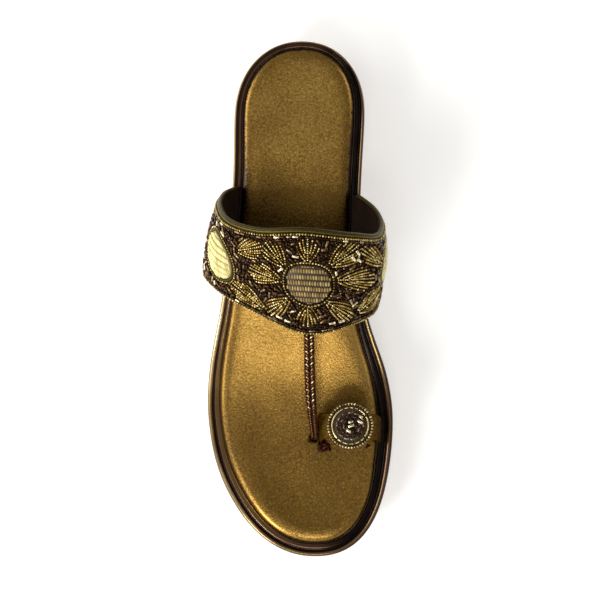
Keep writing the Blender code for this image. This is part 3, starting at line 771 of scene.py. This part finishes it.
profiles = {
    # shares of the way from the outer wall to the inner one, and the painted tone at each, painted reflection
    # and shade: dark outer wall, gold bead, black groove, brown band
    "side": ((0.02, 0.06, 0.16, 0.40, 0.47, 0.53, 0.60, 0.98),
             (0.08, 0.55, 0.80, 0.72, 0.12, 0.05, 0.42, 0.38)),
    # the bead is thinner round the toe
    "toe": ((0.03, 0.08, 0.15, 0.26, 0.34, 0.44, 0.58, 0.98),
            (0.05, 0.45, 0.82, 0.74, 0.12, 0.06, 0.38, 0.32)),
    # painted shade: all but the bead is nearly black along the inner side of the foot
    "inner": ((0.02, 0.14, 0.22, 0.36, 0.42, 0.55, 0.98), (0.03, 0.08, 0.90, 0.45, 0.06, 0.03, 0.05)),
}
rand = copyOfNode("rand", "randStrip")
places = corners(rand)
walls = {True: set(), False: set()}
for face in rand.data.polygons:
    if abs(face.normal.z) < 0.25:
        middleLine = Vector((0, max(min(face.center.y, 90 * mm), -80 * mm), 0))
        outward = (face.center - middleLine).xy.dot(face.normal.xy) > 0
        walls[outward].update(face.vertices)
seen = places[:, :2]
fromOuter = awayFrom(seen, seen[sorted(walls[True] - walls[False])])
fromInner = awayFrom(seen, seen[sorted(walls[False] - walls[True])])
inwards = fromOuter / np.maximum(fromOuter + fromInner, 1e-6)
x, y = places[:, 0] / mm, places[:, 1] / mm
randPaintedTone, toePaintedTone, innerPaintedTone = [np.interp(inwards, *profile) for profile in profiles.values()]
randPaintedTone += (toePaintedTone - randPaintedTone) * slope(-y, 45, 75)
randPaintedTone += (innerPaintedTone - randPaintedTone) * slope(x, 8, 24)
# painted light: the lacquer is made lighter along the outer side of the foot and darker along the inner side,
# with painted highlights ahead of the straps and at the toe
randPaintedTone += 0.34 * slope(inwards, 0.6, 1.0) * slope(-y, 25, 45) * slope(-x, 0, 20)
paintedGlints = spread(y + 16, 18) + np.where(x < 0, 0.7, 0.2) * spread(y + 98, 14)
setTone(rand.data, np.minimum(randPaintedTone * (1 - 0.16 * np.clip(x / 30, -1, 1)) * (1 + 0.3 * paintedGlints), 1))
subdivide(rand, 2)
ready(rand, rim, ["rand"])


# footbed: a foiled pad over foam

footbed = {"waves": 0.15, "topFrom": 18, "halfWidth": 38}
pad = copyOfNode("footbed", "footbedPad")
brink = {v for face in pad.data.polygons if abs(face.normal.z) < 0.3 for v in face.vertices}
brink = corners(pad)[sorted(brink), :2]


def onOutline(p):
    # only the outline counts, not the slots for the thong and the loop
    sameSide = [abs(q[0]) for q in brink if abs(q[1] - p[1]) < 8 * mm and q[0] * p[0] > 0]
    return abs(p[1]) > 95 * mm or abs(p[0]) > 0.8 * max(sameSide)


brink = np.array([p for p in brink if onOutline(p)])
subdivide(pad, 2)
places = corners(pad)
x, y, z = places[:, 0] / mm, places[:, 1] / mm, places[:, 2].copy()
fromBrink = awayFrom(places[:, :2], brink) / mm
ball = slope(16 - y, 0, 14)
innerSide = slope(x, 0, 20)
outerSide = slope(-x, 0, 20) * slope(y, -118, -103)
# painted highlight and shade: along the ball of the foot a painted highlight lies just inside the edge,
# turned to painted shade on the outer side, and the edge itself gets painted shade, most of all round the
# heel
padPaintedLight = (0.18 - 0.34 * outerSide) * spread(fromBrink - 3.4, 1.7) * ball
padPaintedLight *= np.maximum(slope(y, -110, -80), 0.3)
padPaintedLight -= 0.35 * (1 - outerSide * ball) * spread(fromBrink, 1.2)
padPaintedLight -= 0.16 * outerSide * ball * spread(fromBrink - 1.5, 1.3)
padPaintedLight -= 0.45 * spread(fromBrink, 3.6) * slope(y, 5, 35)
# a painted highlight by the inner edge ahead of the strap and another just ahead of it, and painted shade on
# the outer forefoot, beside the medallion and by the strap's outer foot
padPaintedLight += 0.40 * spread(fromBrink - 2.4, 2.0) * innerSide * spread(y + 26, 17)
padPaintedLight += 0.11 * spread(x + 16, 22) * spread(y + 14, 17)
padPaintedLight -= 0.09 * spread(x + 24, 11) * spread(y + 60, 16)
padPaintedLight -= 0.30 * spread(x - 18, 15) * spread(y + 66, 20)
padPaintedLight -= 0.24 * spread(x + 14, 13) * slope(74 - y, 0, 14) * slope(y, 10, 30)
setTone(pad.data, padPaintedLight)
# the leather lies in very slight waves over its foam
waves = np.abs(np.sin(x / 11 + y / 23) * np.sin(y / 17 - x / 31 + 1.1)) * footbed["waves"] * mm
waves *= slope(footbed["halfWidth"] - np.abs(x), 0, 8) * slope(z / mm - footbed["topFrom"], 0, 3)
places[:, 2] = z - waves
moveCorners(pad, places)
ready(pad, footbedLeather, ["footbed"])
print("rand and footbed")


# vamp: a cloth band with its lining, on the chart

vamp = {
    "columns": 168, "rows": 40, "wall": 2.3, "skived": 1.2, "beadsFrom": 25.0, "beadsTo": 146.5,
    "cloth": 1.15,  # the cloth's outer face over the middle surface
    "creases": (
        # ends on the chart, breadth and depth
        (6, 5, 22, 12, 2.2, 0.35), (5, 17, 20, 20, 2.6, 0.30), (8, 30, 24, 26, 2.2, 0.30),
        (162, 5, 148, 12, 2.2, 0.35), (163, 16, 150, 19, 2.6, 0.30), (160, 28, 147, 25, 2.2, 0.28),
    ),
}
band = started(bpy.ops.mesh.primitive_grid_add, x_subdivisions=vamp["columns"],
               y_subdivisions=vamp["rows"], size=2)
band.name = band.data.name = "vampBand"
flat = corners(band)
u = (flat[:, 0] + 1) / 2 * vampLength
v = (flat[:, 1] + 1) / 2 * widthAt(u)
# soft creases where the cloth is pulled down into the sole
crease = np.zeros(len(u))
for u0, v0, u1, v1, breadth, depth in vamp["creases"]:
    t, square = fromLine(u, v, u0, v0, u1, v1)
    away = np.sqrt(square)
    crease += depth * spread(away, breadth) * np.sin(math.pi * np.clip(t, 0.05, 0.95)) ** 0.5
    crease -= 0.4 * depth * spread(away - breadth * 1.5, breadth)
middle, out = onVamp(u, v, 0.0)
moveCorners(band, middle)
setChart(band, np.stack([u, v], axis=1) * mm)
# the wall thins down to its skived ends
wallGroup = band.vertex_groups.new(name="wall")
full = slope(np.minimum(u, vampLength - u) / vampLength, 0.015, 0.06)
full = full * full * (3 - 2 * full)
for k, value in enumerate(full + (1 - full) * vamp["skived"] / vamp["wall"]):
    wallGroup.add([k], float(value), "REPLACE")
thick = band.modifiers.new("Wall", "SOLIDIFY")
thick.thickness = vamp["wall"] * mm
thick.offset = 0
thick.vertex_group = "wall"
useModifiers(band)
facesOut(band)
# the creases go into the outer face alone
places = corners(band).reshape(2, -1, 3)
outer = np.einsum("kij,ij->ki", places - middle, out) > 0
moveCorners(band, places - out * (outer * crease * mm)[..., None])
outer = outer.ravel()
uBoth = np.tile(u, 2)
band.data.materials.clear()
for material in (groundCloth, sideCloth, liningCloth):
    band.data.materials.append(material)
for face in band.data.polygons:
    ids = list(face.vertices)
    if outer[ids].mean() < 0.75:
        face.material_index = 2
    elif not vamp["beadsFrom"] - 1 < uBoth[ids].mean() < vamp["beadsTo"] + 1:
        face.material_index = 1
ready(band, None, ["upper"], 60)
print("vamp band", len(band.data.polygons), "faces")


# binding: two satin bands folded over the rear edge with a thread beside them, and one fold at the front

binding = {
    "step": 1.0, "ends": 4.5,
    # place from the rear edge, lift, half breadth, half height and tone
    "folds": ((-0.42, 0.15, 0.74, 1.18, 0.30), (0.48, 1.06, 0.42, 0.42, 0.62),
              (1.10, 1.20, 0.28, 0.28, 0.22)),
    "front": (0.55, 0.75, 1.3, 0.2),  # place inside the front edge, half breadth, half height and tone
}
edgeLine = np.arange(binding["ends"], vampLength - binding["ends"], binding["step"])
folds = [(*onVamp(edgeLine, back, lift), *form) for back, lift, *form in binding["folds"]]
tubes("rearBinding", folds, 12, bindingSatin, ["rear_piping"])
inset, *form = binding["front"]
tubes("frontFold", [(*onVamp(edgeLine, widthAt(edgeLine) - inset, 0.0), *form)], 10, bindingSatin)
print("bindings")


# gold couched lines up the plain sides

couching = {"first": 5.4, "pitch": 4.7, "rows": 6, "points": 46, "broad": 0.36, "high": 0.34, "lift": 1.12,
            "tone": 0.42, "spans": ((3.2, 25.5), (vampLength - 3.2, 146.0))}
along = np.linspace(0, 1, couching["points"])
pinched = 1 + 0.18 * np.sin(np.arange(couching["points"]) * 2.1)
couched = []
for first, last in couching["spans"]:
    for k in range(couching["rows"]):
        start = couching["first"] + k * couching["pitch"]
        bowed = start + 0.9 * np.sin(math.pi * along) - 0.24 * (start - 17) * along ** 3
        line, up = onVamp(np.linspace(first, last, couching["points"]), bowed, couching["lift"])
        couched.append((line, up, couching["broad"] * pinched, couching["high"] * pinched, couching["tone"]))
tubes("couchedLines", couched, 6, wireGold)
print("couched lines", len(couched))


# thread ovals: a padded base, and laid stitches over it in rows

creamOval = {"square": (1.9, 2.3), "row": 3.30, "stitch": 0.80, "fill": 0.86,
             "thread": creamThread, "slot": "cream_thread"}
ovals = {
    # centre, half sizes and lean on the chart; how square its rear and front halves are; rows of stitches
    "centreOval": {"at": (87.8, 28.6), "half": (9.7, 10.2), "lean": 0.0, "rise": 2.2, "slant": 0.0,
                   "node": "centre_oval", "square": (3.0, 1.8), "row": 3.05, "stitch": 1.15, "fill": 0.80,
                   "thread": taupeThread, "slot": "taupe_thread"},
    "lateralOval": {"at": (41.9, 20.2), "half": (8.2, 10.8), "lean": 0.30, "rise": 2.1, "slant": 0.25,
                    "node": "lateral_oval", **creamOval},
    "medialOval": {"at": (136.0, 17.0), "half": (9.0, 10.4), "lean": -0.25, "rise": 1.8, "slant": -0.25,
                   "node": "medial_oval", **creamOval},
}
around = np.linspace(0, 2 * math.pi, 91)


def ovalPoint(oval, x, y, grow=0.0):
    # a point of the unit disc, on the oval and back on the chart
    x, y = np.asarray(x, float), np.asarray(y, float)
    square = np.where(y < 0, *oval["square"])
    stretch = np.hypot(x, y) / np.maximum((np.abs(x) ** square + np.abs(y) ** square) ** (1 / square), 1e-6)
    (cu, cv), (hu, hv) = oval["at"], oval["half"]
    dv = y * stretch * (hv + grow)
    return cu + x * stretch * (hu + grow) + oval["lean"] * dv, cv + dv


def ovalLine(oval, angles, grow):
    return ovalPoint(oval, np.cos(angles), np.sin(angles), grow)


def crownOf(oval, radius):
    # the padding's height over the middle surface, highest at the oval's centre
    return vamp["cloth"] + 0.25 + (oval["rise"] - 0.75) * np.sqrt(1 - radius ** 2 * 0.98)


def stitchEnds(oval, du, dv):
    # a stitch is cut where it meets the oval's edge; its ends are given from the centre
    hu, hv = [half - 0.1 for half in oval["half"]]
    rear, front = oval["square"]
    out = min(abs(du / hu), 1)
    return (max(dv - oval["row"] / 2, -hv * (1 - out ** rear) ** (1 / rear)),
            min(dv + oval["row"] / 2, hv * (1 - out ** front) ** (1 / front)))


for name, oval in ovals.items():
    (cu, cv), (hu, hv) = oval["at"], oval["half"]
    # the padded base: a disc inset towards its middle and raised
    base = started(bpy.ops.mesh.primitive_circle_add, vertices=40, radius=1, fill_type="NGON")
    base.name = base.data.name = name
    editAll(base)
    for inset in (0.12, 0.2, 0.22, 0.2, 0.14):
        bpy.ops.mesh.inset(thickness=inset, depth=0)
    bpy.ops.mesh.poke()
    bpy.ops.mesh.select_all(action="SELECT")
    bpy.ops.mesh.extrude_region_move(TRANSFORM_OT_translate={"value": (0, 0, 1)})
    editDone()
    flat = corners(base)
    radius = np.hypot(flat[:, 0], flat[:, 1]).clip(0, 1)
    crown = np.where(flat[:, 2] > 0.5, crownOf(oval, radius), vamp["cloth"])
    places, _ = onVamp(*ovalPoint(oval, flat[:, 0], flat[:, 1]), crown)
    moveCorners(base, places)
    facesOut(base)
    # painted shade: the padding takes the thread's darkest tone, so the gaps between the stitches are dark
    setTone(base.data, np.full(len(places), 0.05))
    ready(base, oval["thread"], [oval["node"]], 60)
    # laid stitches, each one a flat bundle across its row
    box = BeadBox(name + "Stitches", "stitch")
    rows = int(2 * hv / oval["row"]) + 3
    columns = int(2 * hu / oval["stitch"]) + 3
    for i in range(-rows, rows + 1):
        for j in range(-columns, columns + 1):
            du = (j + 0.5 * (i % 2)) * oval["stitch"]
            low, high = stitchEnds(oval, du, (i + 0.5) * oval["row"] + du * oval["slant"])
            if high - low < 0.8:
                continue
            ends = np.array([[cu + du + oval["lean"] * end, cv + end] for end in (low, high)])
            mid = ends.mean(axis=0)
            crown = crownOf(oval, min(math.hypot(du / hu, (mid[1] - cv) / hv), 1))
            twoEnds, _ = onVamp(ends[:, 0], ends[:, 1], crown)
            centre, up = onVamp(mid[0], mid[1], crown + 0.12)
            ahead = twoEnds[1] - twoEnds[0]
            size = (np.linalg.norm(ahead) / mm / 2 * oval["fill"], oval["stitch"] * 0.50, 0.62)
            box.add(centre, ahead, up, size, 0.52 + dice.uniform(-0.2, 0.2))
    box.made(oval["thread"], oval["slot"])
    for part in np.linspace(0.05, 1, 24):
        claim(*ovalPoint(oval, np.cos(around) * part, np.sin(around) * part), 0.35)


# beads on the vamp

beadwork = {
    # half the length, breadth and height of a bead, and its pitch along a row
    "seed": ((0.60, 0.66, 0.64), 1.38), "small": ((0.52, 0.56, 0.56), 1.15),
    "bugle": ((1.35, 0.62, 0.6), 3.0), "closing": ((0.62, 0.70, 0.66), 1.45),
    "centreDark": ((0.5, 0.45, 0.5), 1.25), "centreGold": ((0.62, 0.66, 0.66), 1.5),
    "sideGold": ((0.56, 0.58, 0.6), 1.35),
    "cut": (0.58, 0.49, 1.28),  # half length, half breadth and pitch of the leaves' cut beads
}
goldSeeds = BeadBox("vampSeedBeads", "seed")
smallSeeds = BeadBox("vampVeinBeads", "seed")
bugles = BeadBox("vampBugles", "bugle")
darkSeeds = BeadBox("vampDarkBeads", "seed")
cutBeads = BeadBox("leafBeads", "stitch")


def goldTone():
    return min(max(dice.gauss(0.52, 0.17), 0.1), 0.95)


def edgeTone():
    # the edge rows are worn duller than the rest
    return min(max(dice.gauss(0.28, 0.15), 0.05), 0.8)


def darkTone():
    # mostly purple-brown, some bronze, and now and then a painted glint, a tone near white
    roll = dice.random()
    if roll > 0.945:
        return dice.uniform(0.88, 0.98)
    return dice.uniform(0.55, 0.78) if roll > 0.66 else dice.uniform(0.12, 0.5)


def beadRow(box, us, vs, form, tone, closed=False, gap=1.0):
    # a row of beads along a line on the chart
    size, pitch = form
    us, vs = np.broadcast_arrays(us, vs)
    line, up = onVamp(us, vs, vamp["cloth"] + size[2] * 0.8)
    for centre, ahead, normal in zip(*evenly(line, up, pitch, closed)):
        jitter = dice.uniform(0.93, 1.05)
        box.add(centre, ahead, normal, [jitter * s for s in size], tone())
    claim(us, vs, size[1] * gap)


# edge rows: gold seeds at both edges, and a row of bugles inside each
uRear = np.arange(6, vampLength - 6, 0.8)
beadRow(goldSeeds, uRear, 2.0, beadwork["seed"], edgeTone)
uFront = np.arange(15, vampLength - 13, 0.8)
beadRow(goldSeeds, uFront, widthAt(uFront) - 0.75, beadwork["seed"], edgeTone)
uInner = np.arange(vamp["beadsFrom"] + 1, vamp["beadsTo"] - 1, 0.8)
beadRow(bugles, uInner, 3.35, beadwork["bugle"], darkTone)
beadRow(bugles, uInner, widthAt(uInner) - 2.15, beadwork["bugle"], darkTone)
claim((0, vampLength), (-1.5, -1.5), 2.4)

# beads that close the beadwork against the plain sides
vClosing = np.linspace(3.5, 32.0, 50)
for edge, sign in ((vamp["beadsFrom"], 1), (vamp["beadsTo"], -1)):
    uClosing = edge + sign * 2.2 * (np.abs(vClosing - 18) / 15) ** 2.5
    beadRow(goldSeeds, uClosing, vClosing, beadwork["closing"], goldTone)

# rings round the ovals: dark beads and mixed gold ones at the centre, a cord and dull gold ones at the sides
for name, oval in ovals.items():
    if name == "centreOval":
        beadRow(darkSeeds, *ovalLine(oval, around[:-1], 0.35), beadwork["centreDark"],
                lambda: dice.uniform(0.1, 0.35), closed=True)
        for first, last, dark in ((0.80, 2.34, 0.55), (2.34, 3.94, 0.75), (3.94, 5.48, 0.25),
                                  (5.48, 7.08, 0.75)):
            beadRow(goldSeeds, *ovalLine(oval, np.linspace(first, last, 24), 1.35), beadwork["centreGold"],
                    lambda: dice.uniform(0.02, 0.2) if dice.random() < dark else goldTone())
    else:
        cord = (*onVamp(*ovalLine(oval, around, 0.7), 1.55), 0.62, 0.7, 0.35)
        tubes(name + "Cord", [cord], 8, bindingSatin)
        beadRow(goldSeeds, *ovalLine(oval, around[:-1], 1.85), beadwork["sideGold"], edgeTone,
                closed=True, gap=1.6)
print("rows and rings")


# leaves: a vein of small beads, and slanted strokes of cut beads on both sides of it

leaves = (
    # base and tip as u, v; half breadth; strokes a side
    (87.8, 16.6, 88.4, 3.6, 4.9, 3),
    (77.4, 18.8, 69.0, 5.4, 4.8, 3),
    (75.4, 26.1, 60.2, 20.6, 5.4, 4),
    (78.8, 36.4, 67.8, 44.6, 4.8, 3),
    (87.0, 39.8, 86.8, 51.6, 4.9, 3),
    (95.6, 37.2, 108.8, 44.8, 5.0, 3),
    (99.8, 24.7, 120.2, 22.0, 6.2, 4),
    (97.2, 17.4, 111.0, 4.4, 5.7, 4),
    (54.2, 12.8, 67.6, 8.0, 5.6, 4),
    (66.8, 42.4, 50.4, 30.4, 4.8, 4),
    (125.8, 15.2, 111.4, 6.4, 4.9, 3),
    (111.6, 41.3, 126.4, 27.9, 4.9, 4),
)


def beadStroke(us, vs, half):
    # a strung stroke of cut beads that nearly touch; the tone drifts along it in painted highlights, and
    # differs at random from bead to bead
    long, _, pitch = beadwork["cut"]
    line, up = onVamp(us, vs, vamp["cloth"] + half * 1.5)
    drift, swing = dice.uniform(0, 2 * math.pi), dice.uniform(0.10, 0.26)
    for k, (centre, ahead, normal) in enumerate(zip(*evenly(line, up, pitch))):
        tone = 0.49 + swing * math.sin(drift + k * 0.9) + dice.gauss(0, 0.19)
        cutBeads.add(centre, ahead, normal, (long, half, half), min(max(tone, 0.06), 0.97))
    claim(us, vs, half * 1.45)


t = np.linspace(0, 1, 9)
for u0, v0, u1, v1, broad, count in leaves:
    base, tip = np.array((u0, v0)), np.array((u1, v1))
    length = np.linalg.norm(tip - base)
    ahead = (tip - base) / length
    side = np.array((-ahead[1], ahead[0]))
    vein = base[:, None] + ahead[:, None] * np.linspace(0.6, length * 0.98, 24)
    beadRow(smallSeeds, *vein, beadwork["small"], goldTone, gap=1.1)
    for sign in (-1, 1):
        for k in range(count):
            # the strokes are nested: each leaves the vein, bows outwards, and ends nearly parallel to it
            start = (0.02 + 0.50 * k / count) * length
            far = (0.66 + 0.42 * k / count) * length
            outline = 1.25 + (broad - 1.25) * (1 - k / (count - 0.35))
            along = start + (far - start) * t ** 1.1
            off = 0.85 + (outline - 0.85) * (1 - (1 - t) ** 1.45)
            stroke = base[:, None] + ahead[:, None] * along + side[:, None] * sign * off
            beadStroke(*stroke, beadwork["cut"][1] * dice.uniform(0.94, 1.06))
print("leaves", len(leaves))


def shortLine(u0, v0, angle, half):
    # the ends of a short line about its middle, as two u and two v
    c, s = math.cos(angle) * half, math.sin(angle) * half
    return (u0 - c, u0 + c), (v0 - s, v0 + s)


# painted glints: long bugles at a near-white tone beside the upper right leaf and below the upper left one
for u0, v0, angle in ((109.6, 9.0, 1.0), (107.4, 12.2, 1.1), (110.2, 13.0, 0.8), (75.8, 20.4, -0.6),
                      (82.6, 13.6, 0.3), (77.6, 48.2, 0.35), (73.8, 46.2, 0.4), (98.0, 48.0, -0.3),
                      (102.6, 46.6, -0.35)):
    laid = shortLine(u0, v0, angle, 1.4)
    ends, _ = onVamp(*laid, 2.1)
    centre, up = onVamp(u0, v0, 2.15)
    bugles.add(centre, ends[1] - ends[0], up, (1.55, 0.7, 0.7), 0.97)
    claim(*laid, 0.8)

# ground: dark bugles at mixed angles in every gap, then small dark beads in what is left
ground = {"longTries": 4500, "allTries": 9000, "seedTries": 16000, "long": 1.7, "short": 1.15, "deepest": 52}
for attempt in range(ground["allTries"]):
    u0 = dice.uniform(vamp["beadsFrom"] + 1.5, vamp["beadsTo"] - 1.5)
    v0 = dice.uniform(2.5, ground["deepest"])
    if v0 > widthAt(u0) - 2.6:
        continue
    long = ground["long"] if attempt < ground["longTries"] else ground["short"]
    laid = shortLine(u0, v0, dice.uniform(0, math.pi), long - 0.4)
    if crowding(*laid, 0.62) > 0.06:
        continue
    ends, _ = onVamp(*laid, 1.7)
    centre, up = onVamp(u0, v0, 1.68 + dice.uniform(0, 0.25))
    bugles.add(centre, ends[1] - ends[0], up, (long, 0.66, 0.64), darkTone())
    claim(*laid, 0.62)
for attempt in range(ground["seedTries"]):
    u0 = dice.uniform(vamp["beadsFrom"] + 1, vamp["beadsTo"] - 1)
    v0 = dice.uniform(2.5, ground["deepest"])
    if v0 > widthAt(u0) - 2.2 or crowding((u0, u0), (v0, v0), 0.5) > 0.2:
        continue
    centre, up = onVamp(u0, v0, 1.55)
    turned, _ = onVamp(u0 + 0.5 * math.cos(attempt), v0 + 0.5 * math.sin(attempt), 1.55)
    darkSeeds.add(centre, turned - centre, up, (0.5, 0.55, 0.52), darkTone() * 0.8)
    claim((u0, u0), (v0, v0), 0.55)
for box, material in ((goldSeeds, seedGold), (smallSeeds, seedGold), (cutBeads, wireGold),
                      (bugles, bugleDark), (darkSeeds, bugleDark)):
    box.made(material, "upper")


# thong: a flat plait from the vamp to the toe post, with light beads on its upper half

thong = {
    "pitch": 1.75, "beadsTo": 178.0, "dullTo": 191.5,
    "line": (
        # x, station, height, breadth, depth
        (4.40, 133.00, 67.75, 5.0, 2.0), (4.40, 139.50, 65.06, 5.1, 2.0), (4.50, 150.00, 60.42, 5.3, 2.2),
        (4.80, 163.00, 53.34, 5.5, 2.2), (5.30, 173.50, 46.74, 5.4, 2.2), (6.00, 181.50, 40.24, 4.8, 2.3),
        (6.70, 188.00, 33.11, 3.9, 2.5), (7.20, 192.40, 25.91, 3.4, 2.7), (7.20, 193.50, 19.60, 3.2, 2.7),
    ),
}
thongLine = np.array(thong["line"])
spots = inFrame(thongLine[:, :3], shoe["shift"])
runTo = runAlong(spots)
at = np.linspace(0, runTo[-1], 90)
middle = smoothPoints(runTo, spots, at)
broad, deep = [np.interp(at, runTo, thongLine[:, k]) for k in (3, 4)]
forwards = unit(np.gradient(middle, axis=0))
over = unit(np.cross((-1.0, 0, 0), forwards))
over *= np.sign(over[0, 2])
across = np.cross(forwards, over)
tubes("thongCore", [(middle, over, broad / 2 * 0.86, deep / 2 * 0.85, 0.12)], 12, braidCord)
strands = BeadBox("thongPlait", "stitch")
studs = BeadBox("thongBeads", "bugle")
thongTable = np.column_stack([middle, forwards, over, across, broad, deep]).T
for k in range(int(runTo[-1] / mm / thong["pitch"])):
    for sign in (-1, 1):
        place = (k + (0.25 if sign < 0 else 0.75)) * thong["pitch"] * mm
        if place > runTo[-1] - 1.5 * mm:
            continue
        *found, wide, high = [np.interp(place, at, column) for column in thongTable]
        centre, forward, up, right = np.reshape(found, (4, 3))
        right *= sign
        outwards, upwards = right * wide * mm, up * high * 0.34 * mm
        # the strands run outwards and back to the edge, so the two sides make a chevron
        direction = forward * 0.80 - right * 0.62
        strands.add(centre + outwards * 0.235 + upwards, direction, up, (wide * 0.36, 0.74, 0.62),
                    dice.uniform(0.08, 0.5))
        strands.add(centre + outwards * 0.235 - upwards, direction, -up, (wide * 0.36, 0.74, 0.5),
                    dice.uniform(0.2, 0.5))
        station = shoe["length"] / 2 - centre[1] / mm
        if k % 2 == 0 and station < thong["beadsTo"]:
            studs.add(centre + outwards * 0.21 + upwards + up * 0.62 * mm, forward * 0.8 - right * 0.55, up,
                      (0.80, 0.42, 0.38), dice.choice((0.95, 0.88, 0.74, 0.6, 0.5)))
        elif station < thong["dullTo"]:
            studs.add(centre + outwards * 0.2 + upwards + up * 0.55 * mm, forward, up, (0.55, 0.38, 0.36),
                      dice.uniform(0.2, 0.5))
strands.made(braidCord, "upper")
studs.made(seedAntique, "upper")


# toe loop and its medallion

loopBand = copyOfNode("toe_loop", "toeLoopBand")
subdivide(loopBand, 2)
ready(loopBand, shadedLoopLeather, ["toe_loop"])

medal = {
    "at": (24.221, -60.6, 47.1), "radius": 11.2, "thick": 1.2, "wireRing": 8.75, "wireHalf": 0.42,
    "steps": ((1.4, 0.1), (1.6, 0.45), (2.4, 0.5), (2.4, 0.3), (1.6, 0.1)),  # inset and rise of its dome
    # place from the centre, lean and half length of the beads with painted glints, near-white tones
    "bright": ((4.7, 1.9, -0.54, 1.5), (0.4, 0.0, 0.37, 1.5), (-0.8, -2.5, -0.6, 1.25), (0.2, 1.9, 0.2, 1.1),
               (5.1, 4.3, -0.5, 0.95)),
    # french wire is cut to length: one long piece on the left, short ones for the rest of the ring
    "wires": ((38, 74), (76, 80), (82, 87), (89, 93), (95, 100), (102, 106), (108, 120), (0, 10), (12, 20),
              (22, 25), (27, 30), (32, 36)),
}
mx, my, mz = medal["at"]
disc = started(bpy.ops.mesh.primitive_cylinder_add, vertices=56, radius=medal["radius"] * mm,
               depth=medal["thick"] * mm, location=(mx * mm, my * mm, (mz + medal["thick"] / 2) * mm))
disc.name = disc.data.name = "medallionBase"
editFaces(disc, lambda face: face.normal.z > 0.9)
for inset, rise in medal["steps"]:
    bpy.ops.mesh.inset(thickness=inset * mm, depth=0)
    bpy.ops.transform.translate(value=(0, 0, rise * mm))
editDone()
facesOut(disc)
setChart(disc, corners(disc)[:, :2])
ready(disc, feltOlive, ["toe_medallion"], 40)
medalSeeds = BeadBox("medallionSeeds", "seed")
medalBugles = BeadBox("medallionBugles", "bugle")
upright = np.array((0, 0, 1.0))


def medalHeight(radius):
    return mz + float(np.interp(radius, (0, 2, 4, 6.4, 8.8, 11.3), (2.65, 2.6, 2.35, 1.9, 1.4, 1.25)))


def ringOf(box, radius, count, size, tone, phase=0.0, tilt=0.0):
    # beads round the medallion, their length along the ring and turned by a tilt
    for k in range(count):
        a = (k + phase) * 2 * math.pi / count
        outwards = np.array((math.cos(a), math.sin(a), 0))
        centre = np.array((mx, my, medalHeight(radius) + size[2] * 0.75)) + radius * outwards
        ahead = (-math.sin(a + tilt), math.cos(a + tilt), 0)
        box.add(centre * mm, ahead, upright + outwards * (0.15 if radius < 9 else 0.0), size, tone())


def layFlat(box, place, lean, size, tone):
    # a level bead, its length turned by a lean
    box.add(np.array(place) * mm, (math.cos(lean), math.sin(lean), 0), upright, size, tone)


ringOf(medalSeeds, 10.55, 46, (0.58, 0.62, 0.62), lambda: goldTone() + 0.06)
ringOf(medalSeeds, 9.65, 40, (0.48, 0.36, 0.36), lambda: dice.uniform(0.0, 0.15))
ringOf(medalSeeds, 7.9, 36, (0.46, 0.34, 0.34), lambda: dice.uniform(0.0, 0.15))
ringOf(medalBugles, 6.4, 13, (1.32, 0.6, 0.58), lambda: dice.uniform(0.4, 0.76), 0.2, 0.08)
ringOf(medalSeeds, 5.45, 26, (0.4, 0.3, 0.3), lambda: 0.0)
ringOf(medalBugles, 4.55, 9, (1.28, 0.6, 0.58), lambda: dice.uniform(0.3, 0.72), 0.5, -0.08)
ringOf(medalBugles, 3.1, 6, (1.12, 0.56, 0.56), lambda: dice.choice((0.15, 0.3, 0.62)), 0.1, 0.1)
ringOf(medalBugles, 1.9, 5, (0.8, 0.5, 0.5), lambda: dice.choice((0.1, 0.2, 0.35)), 0.3, 0.3)
ringOf(medalBugles, 0.9, 3, (0.7, 0.5, 0.5), lambda: 0.2, 0.3, 0.3)
# painted glints on these beads
for x, y, lean, half in medal["bright"]:
    layFlat(medalBugles, (mx + x, my + y, medalHeight(math.hypot(x, y)) + 1.05), lean, (half, 0.72, 0.6),
            0.99 if half > 1.1 else 0.86)
medalSeeds.made(seedAntique, "medallion")
medalBugles.made(buglePlum, "medallion")
turn = np.linspace(0, 2 * math.pi, 121)
wireLine = np.stack([np.cos(turn), np.sin(turn), 0 * turn], axis=1) * medal["wireRing"]
wireLine = (wireLine + (mx, my, medalHeight(medal["wireRing"]) + 0.45)) * mm
coil = medal["wireHalf"] * np.where(np.arange(len(turn)) % 2, 1.0, 0.8)
wires = []
for first, last in medal["wires"]:
    part = slice(first, last + 1)
    wires.append((wireLine[part], np.tile(upright, (last + 1 - first, 1)), coil[part], coil[part],
                  dice.uniform(0.72, 0.95)))
tubes("medallionWire", wires, 7, wireGold)


# the plait's knotted end, tucked in beside the loop's foot

knot = {
    "at": (12.0, -72.2),
    # place from the knot's middle, lean, half length and tone of each strand
    "turns": ((-1.4, 0.9, 0.5, 2.3, 0.1), (0.9, 1.1, -0.3, 2.2, 0.2), (1.9, -0.4, -1.0, 1.9, 0.05),
              (-0.2, -1.3, 0.25, 2.3, 0.12), (-2.0, -0.6, 1.2, 1.7, 0.0)),
    "stubs": ((32.9, -71.9, 0.9, 1.2), (33.6, -71.4, -0.5, 1.1)),
}
kx, ky = knot["at"]
knotStrands = BeadBox("thongKnot", "stitch")
places = corners(pad) / mm
level = places[(abs(places[:, 0] - kx) < 3) & (abs(places[:, 1] - ky) < 3), 2].max()
for k, (x, y, lean, half, tone) in enumerate(knot["turns"]):
    layFlat(knotStrands, (kx + x, ky + y, level + 0.55 + 0.2 * (k % 2)), lean, (half, 1.0, 0.8), tone)
layFlat(knotStrands, (kx + 0.3, ky, level + 1.3), math.atan2(0.5, 0.8), (1.5, 0.7, 0.6), 0.5)
for x, y, lean, half in knot["stubs"]:
    layFlat(knotStrands, (x, y, level + 0.5), lean, (half, 0.6, 0.5), 0.1)
knotStrands.made(braidCord, "upper")
print("toe loop and medallion")
